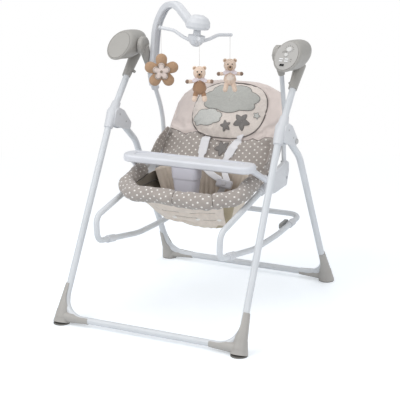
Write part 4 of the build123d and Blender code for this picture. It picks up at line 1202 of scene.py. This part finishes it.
fur = velour("bear_velour", (0.79, 0.62, 0.50), nap=0.0012)
muzzle_velour = velour("muzzle_velour", (0.46, 0.31, 0.21), nap=0.0010)
paw_velour = velour("paw_velour", (0.26, 0.175, 0.13), nap=0.0010)
belly_velour = velour("belly_velour", (0.82, 0.70, 0.61), nap=0.0012)
trouser_cloth = velour("trouser_velour", (0.375, 0.22, 0.13), nap=0.0012)
scarf_cloth = cover_cloth("scarf_cotton", (0.80, 0.71, 0.73), thread=0.0007, sheen=0.3)
eye_black = hard_finish("eye_black", (0.01, 0.009, 0.008), 0.15, 0.0006, 0.00001)
BEARS = {"bear": (0.021, 0.052, 0.022, belly_velour, fur),
         "doll": (0.020, 0.056, 0.023, trouser_cloth, trouser_cloth)}
for toy, (head_r, body_length, body_r, belly, legs) in BEARS.items():
    top = toy_tops[toy]
    middle = top - TOY_UP * (head_r - 0.0004)
    snout = toy_spot(middle, 0, head_r * 0.72, -head_r * 0.30)
    lumps = [(middle - TOY_UP * 0.001, middle + TOY_UP * 0.0004, head_r, head_r * 0.98, 1.0, 0),
             (toy_spot(snout, 0, -0.004, 0), toy_spot(snout, 0, 0.005, -0.001), head_r * 0.50,
              head_r * 0.44, 1.0, 1),
             ball(toy_spot(snout, 0, 0.0125, 0.0035), 0.0034, 0.7, 2)]
    for side in (-1, 1):
        ear = toy_spot(middle, side * head_r * 0.76, -0.001, head_r * 0.68)
        eye = toy_spot(middle, side * head_r * 0.34, head_r * 0.90, head_r * 0.26)
        lumps += [ball(ear, head_r * 0.35, 0.6),
                  ball(toy_spot(ear, 0, 0.0034, 0), head_r * 0.22, 0.4, 1),
                  ball(eye, 0.0021, 1.0, 2)]
    head = stuffed(f"{toy}_plush_head", lumps, [fur, muzzle_velour, eye_black])

    neck = top - TOY_UP * (2 * head_r - 0.006)
    chest = neck - TOY_UP * 0.012
    seat = neck - TOY_UP * (body_length - body_r)
    lumps = [(chest, seat, body_r * 0.62, body_r, 0.95, 0 if toy == "bear" else 1)]
    if toy == "bear":
        lumps.append(ball(toy_spot(seat, 0, body_r * 0.45, 0.004), body_r * 0.62, 0.9, 1))
    else:
        lumps.append((chest + TOY_UP * 0.002, chest - TOY_UP * 0.004, body_r * 0.60, body_r * 0.70,
                      0.95, 0))
    torso = stuffed(f"{toy}_plush_body", lumps, [fur, belly])

    lumps = []
    for side in (-1, 1):
        shoulder = toy_spot(neck, side * body_r * 0.35, 0.002, -0.013)
        hand = toy_spot(neck, side * (body_r * 0.35 + 0.027), 0.012, -0.012)
        hip = toy_spot(neck, side * body_r * 0.45, 0.004, -body_length * 0.78)
        toe = toy_spot(neck, side * (body_r * 0.45 + 0.006), 0.014, -body_length * 0.78 - 0.024)
        lumps += [(shoulder, hand, 0.0048, 0.0064, 1.0, 0),
                  ball(hand.lerp(shoulder, -0.10), 0.0067, 1.0, 1),
                  (hip, hip.lerp(toe, 0.55), 0.0072, 0.0082, 1.0, 2),
                  (hip.lerp(toe, 0.5), toe, 0.0074, 0.0081, 1.0, 0)]
    limbs = stuffed(f"{toy}_plush_limbs", lumps, [fur, paw_velour, legs])

    collar = [toy_spot(neck, math.cos(a) * head_r * 0.68, math.sin(a) * head_r * 0.66, -0.004)
              for a in turns(18, 1)]
    lumps = [(a, b, 0.0034, 0.0034, 1.0, 0) for a, b in zip(collar, collar[1:])]
    knot = toy_spot(neck, 0, head_r * 0.62, -0.004)
    for side in (-1, 1):
        lumps.append((knot, toy_spot(knot, side * 0.017, 0.003, -0.004), 0.0030, 0.0066, 0.45, 0))
    scarf = stuffed(f"{toy}_scarf", lumps, [scarf_cloth])

    for piece, node in ((head, f"{toy}_head"), (torso, f"{toy}_body"), (limbs, f"{toy}_limbs"),
                        (scarf, None)):
        fit(piece, toy, node)

# Studio
# A pale floor that takes a soft shadow, a white backdrop and large soft lamps.
# The camera stands where the photograph was taken from.

AIM = Vector((0.0137, -0.0286, 0.3651))
DISTANCE = 3.92255
AZIMUTH, ELEVATION = math.radians(26.08), math.radians(15.47)
CAMERA_ROLL = math.radians(-0.22)
back = Vector((math.sin(AZIMUTH) * math.cos(ELEVATION), -math.cos(AZIMUTH) * math.cos(ELEVATION),
               math.sin(ELEVATION)))
camera = put("camera", bpy.data.cameras.new("camera"))
adjust(camera.data, lens=106.57, sensor_width=36.0, sensor_height=36.0, clip_end=60.0)
adjust(camera, location=AIM + back * DISTANCE, rotation_mode="QUATERNION",
       rotation_quaternion=back.to_track_quat("Z", "Y") @ Quaternion((0, 0, 1), CAMERA_ROLL))
bpy.context.scene.camera = camera

WHITE = (1.0, 1.0, 1.0, 1.0)
FLOOR_HALF = 12.0
floor_sheet, tree, shader = blank_finish("studio_floor")
feed(tree, shader, Base_Color=(0.86, 0.89, 0.92, 1.0), Roughness=0.6)
lift = add_node(tree, "Emission", Color=(0.92, 0.96, 1.0, 1.0), Strength=0.34)
lifted = wire(tree, add_node(tree, "AddShader"), shader.outputs[0], lift.outputs[0])
away = add_node(tree, "VectorMath", {"operation": "LENGTH"},
                Vector=add_node(tree, "TexCoord").outputs["Object"])
fade = add_node(tree, "MapRange", Value=away.outputs["Value"], From_Min=0.9, From_Max=2.4)
blank = add_node(tree, "Emission", Color=WHITE, Strength=1.0)
horizon = wire(tree, add_node(tree, "MixShader"), fade.outputs["Result"], lifted, blank.outputs[0])
path = add_node(tree, "LightPath")
seen = wire(tree, add_node(tree, "Math", {"operation": "MAXIMUM"}),
            path.outputs["Is Camera Ray"], path.outputs["Is Glossy Ray"])
pick = wire(tree, add_node(tree, "MixShader"), seen, shader.outputs[0], horizon)
tree.links.new(pick, tree.nodes["Material Output"].inputs["Surface"])

floor_mesh = bpy.data.meshes.new("studio_floor")
floor_mesh.from_pydata([(x * FLOOR_HALF, y * FLOOR_HALF, 0)
                        for x, y in ((-1, -1), (1, -1), (1, 1), (-1, 1))], [], [(0, 1, 2, 3)])
floor_mesh.materials.append(floor_sheet)
floor = put("studio_floor", floor_mesh)

SEAT_MIDDLE = Vector((0.0, 0.0, 0.5))
for name, spot, size, watts in (("key_box", (-1.6, -2.2, 3.0), 2.4, 52),
                                ("fill_box", (2.6, -1.8, 1.8), 2.4, 24),
                                ("top_box", (0.2, 0.6, 3.4), 2.6, 25)):
    light = adjust(bpy.data.lights.new(name, "AREA"), size=size, energy=watts)
    adjust(put(name, light), location=spot, rotation_mode="QUATERNION",
           rotation_quaternion=(Vector(spot) - SEAT_MIDDLE).to_track_quat("Z", "Y"))

world = bpy.data.worlds.new("studio")
bpy.context.scene.world = world
world.use_nodes = True
sky = world.node_tree
backdrop = sky.nodes["Background"]
feed(sky, backdrop, Color=WHITE, Strength=1.0)
ambient = add_node(sky, "Background", Color=(0.96, 0.98, 1.0, 1.0), Strength=0.55)
rays = add_node(sky, "LightPath")
shown = wire(sky, add_node(sky, "Math", {"operation": "MAXIMUM"}),
             rays.outputs["Is Camera Ray"], rays.outputs["Is Transmission Ray"])
choice = wire(sky, add_node(sky, "MixShader"), shown, ambient.outputs[0], backdrop.outputs[0])
sky.links.new(choice, sky.nodes["World Output"].inputs["Surface"])
bpy.context.scene.view_settings.view_transform = "Standard"
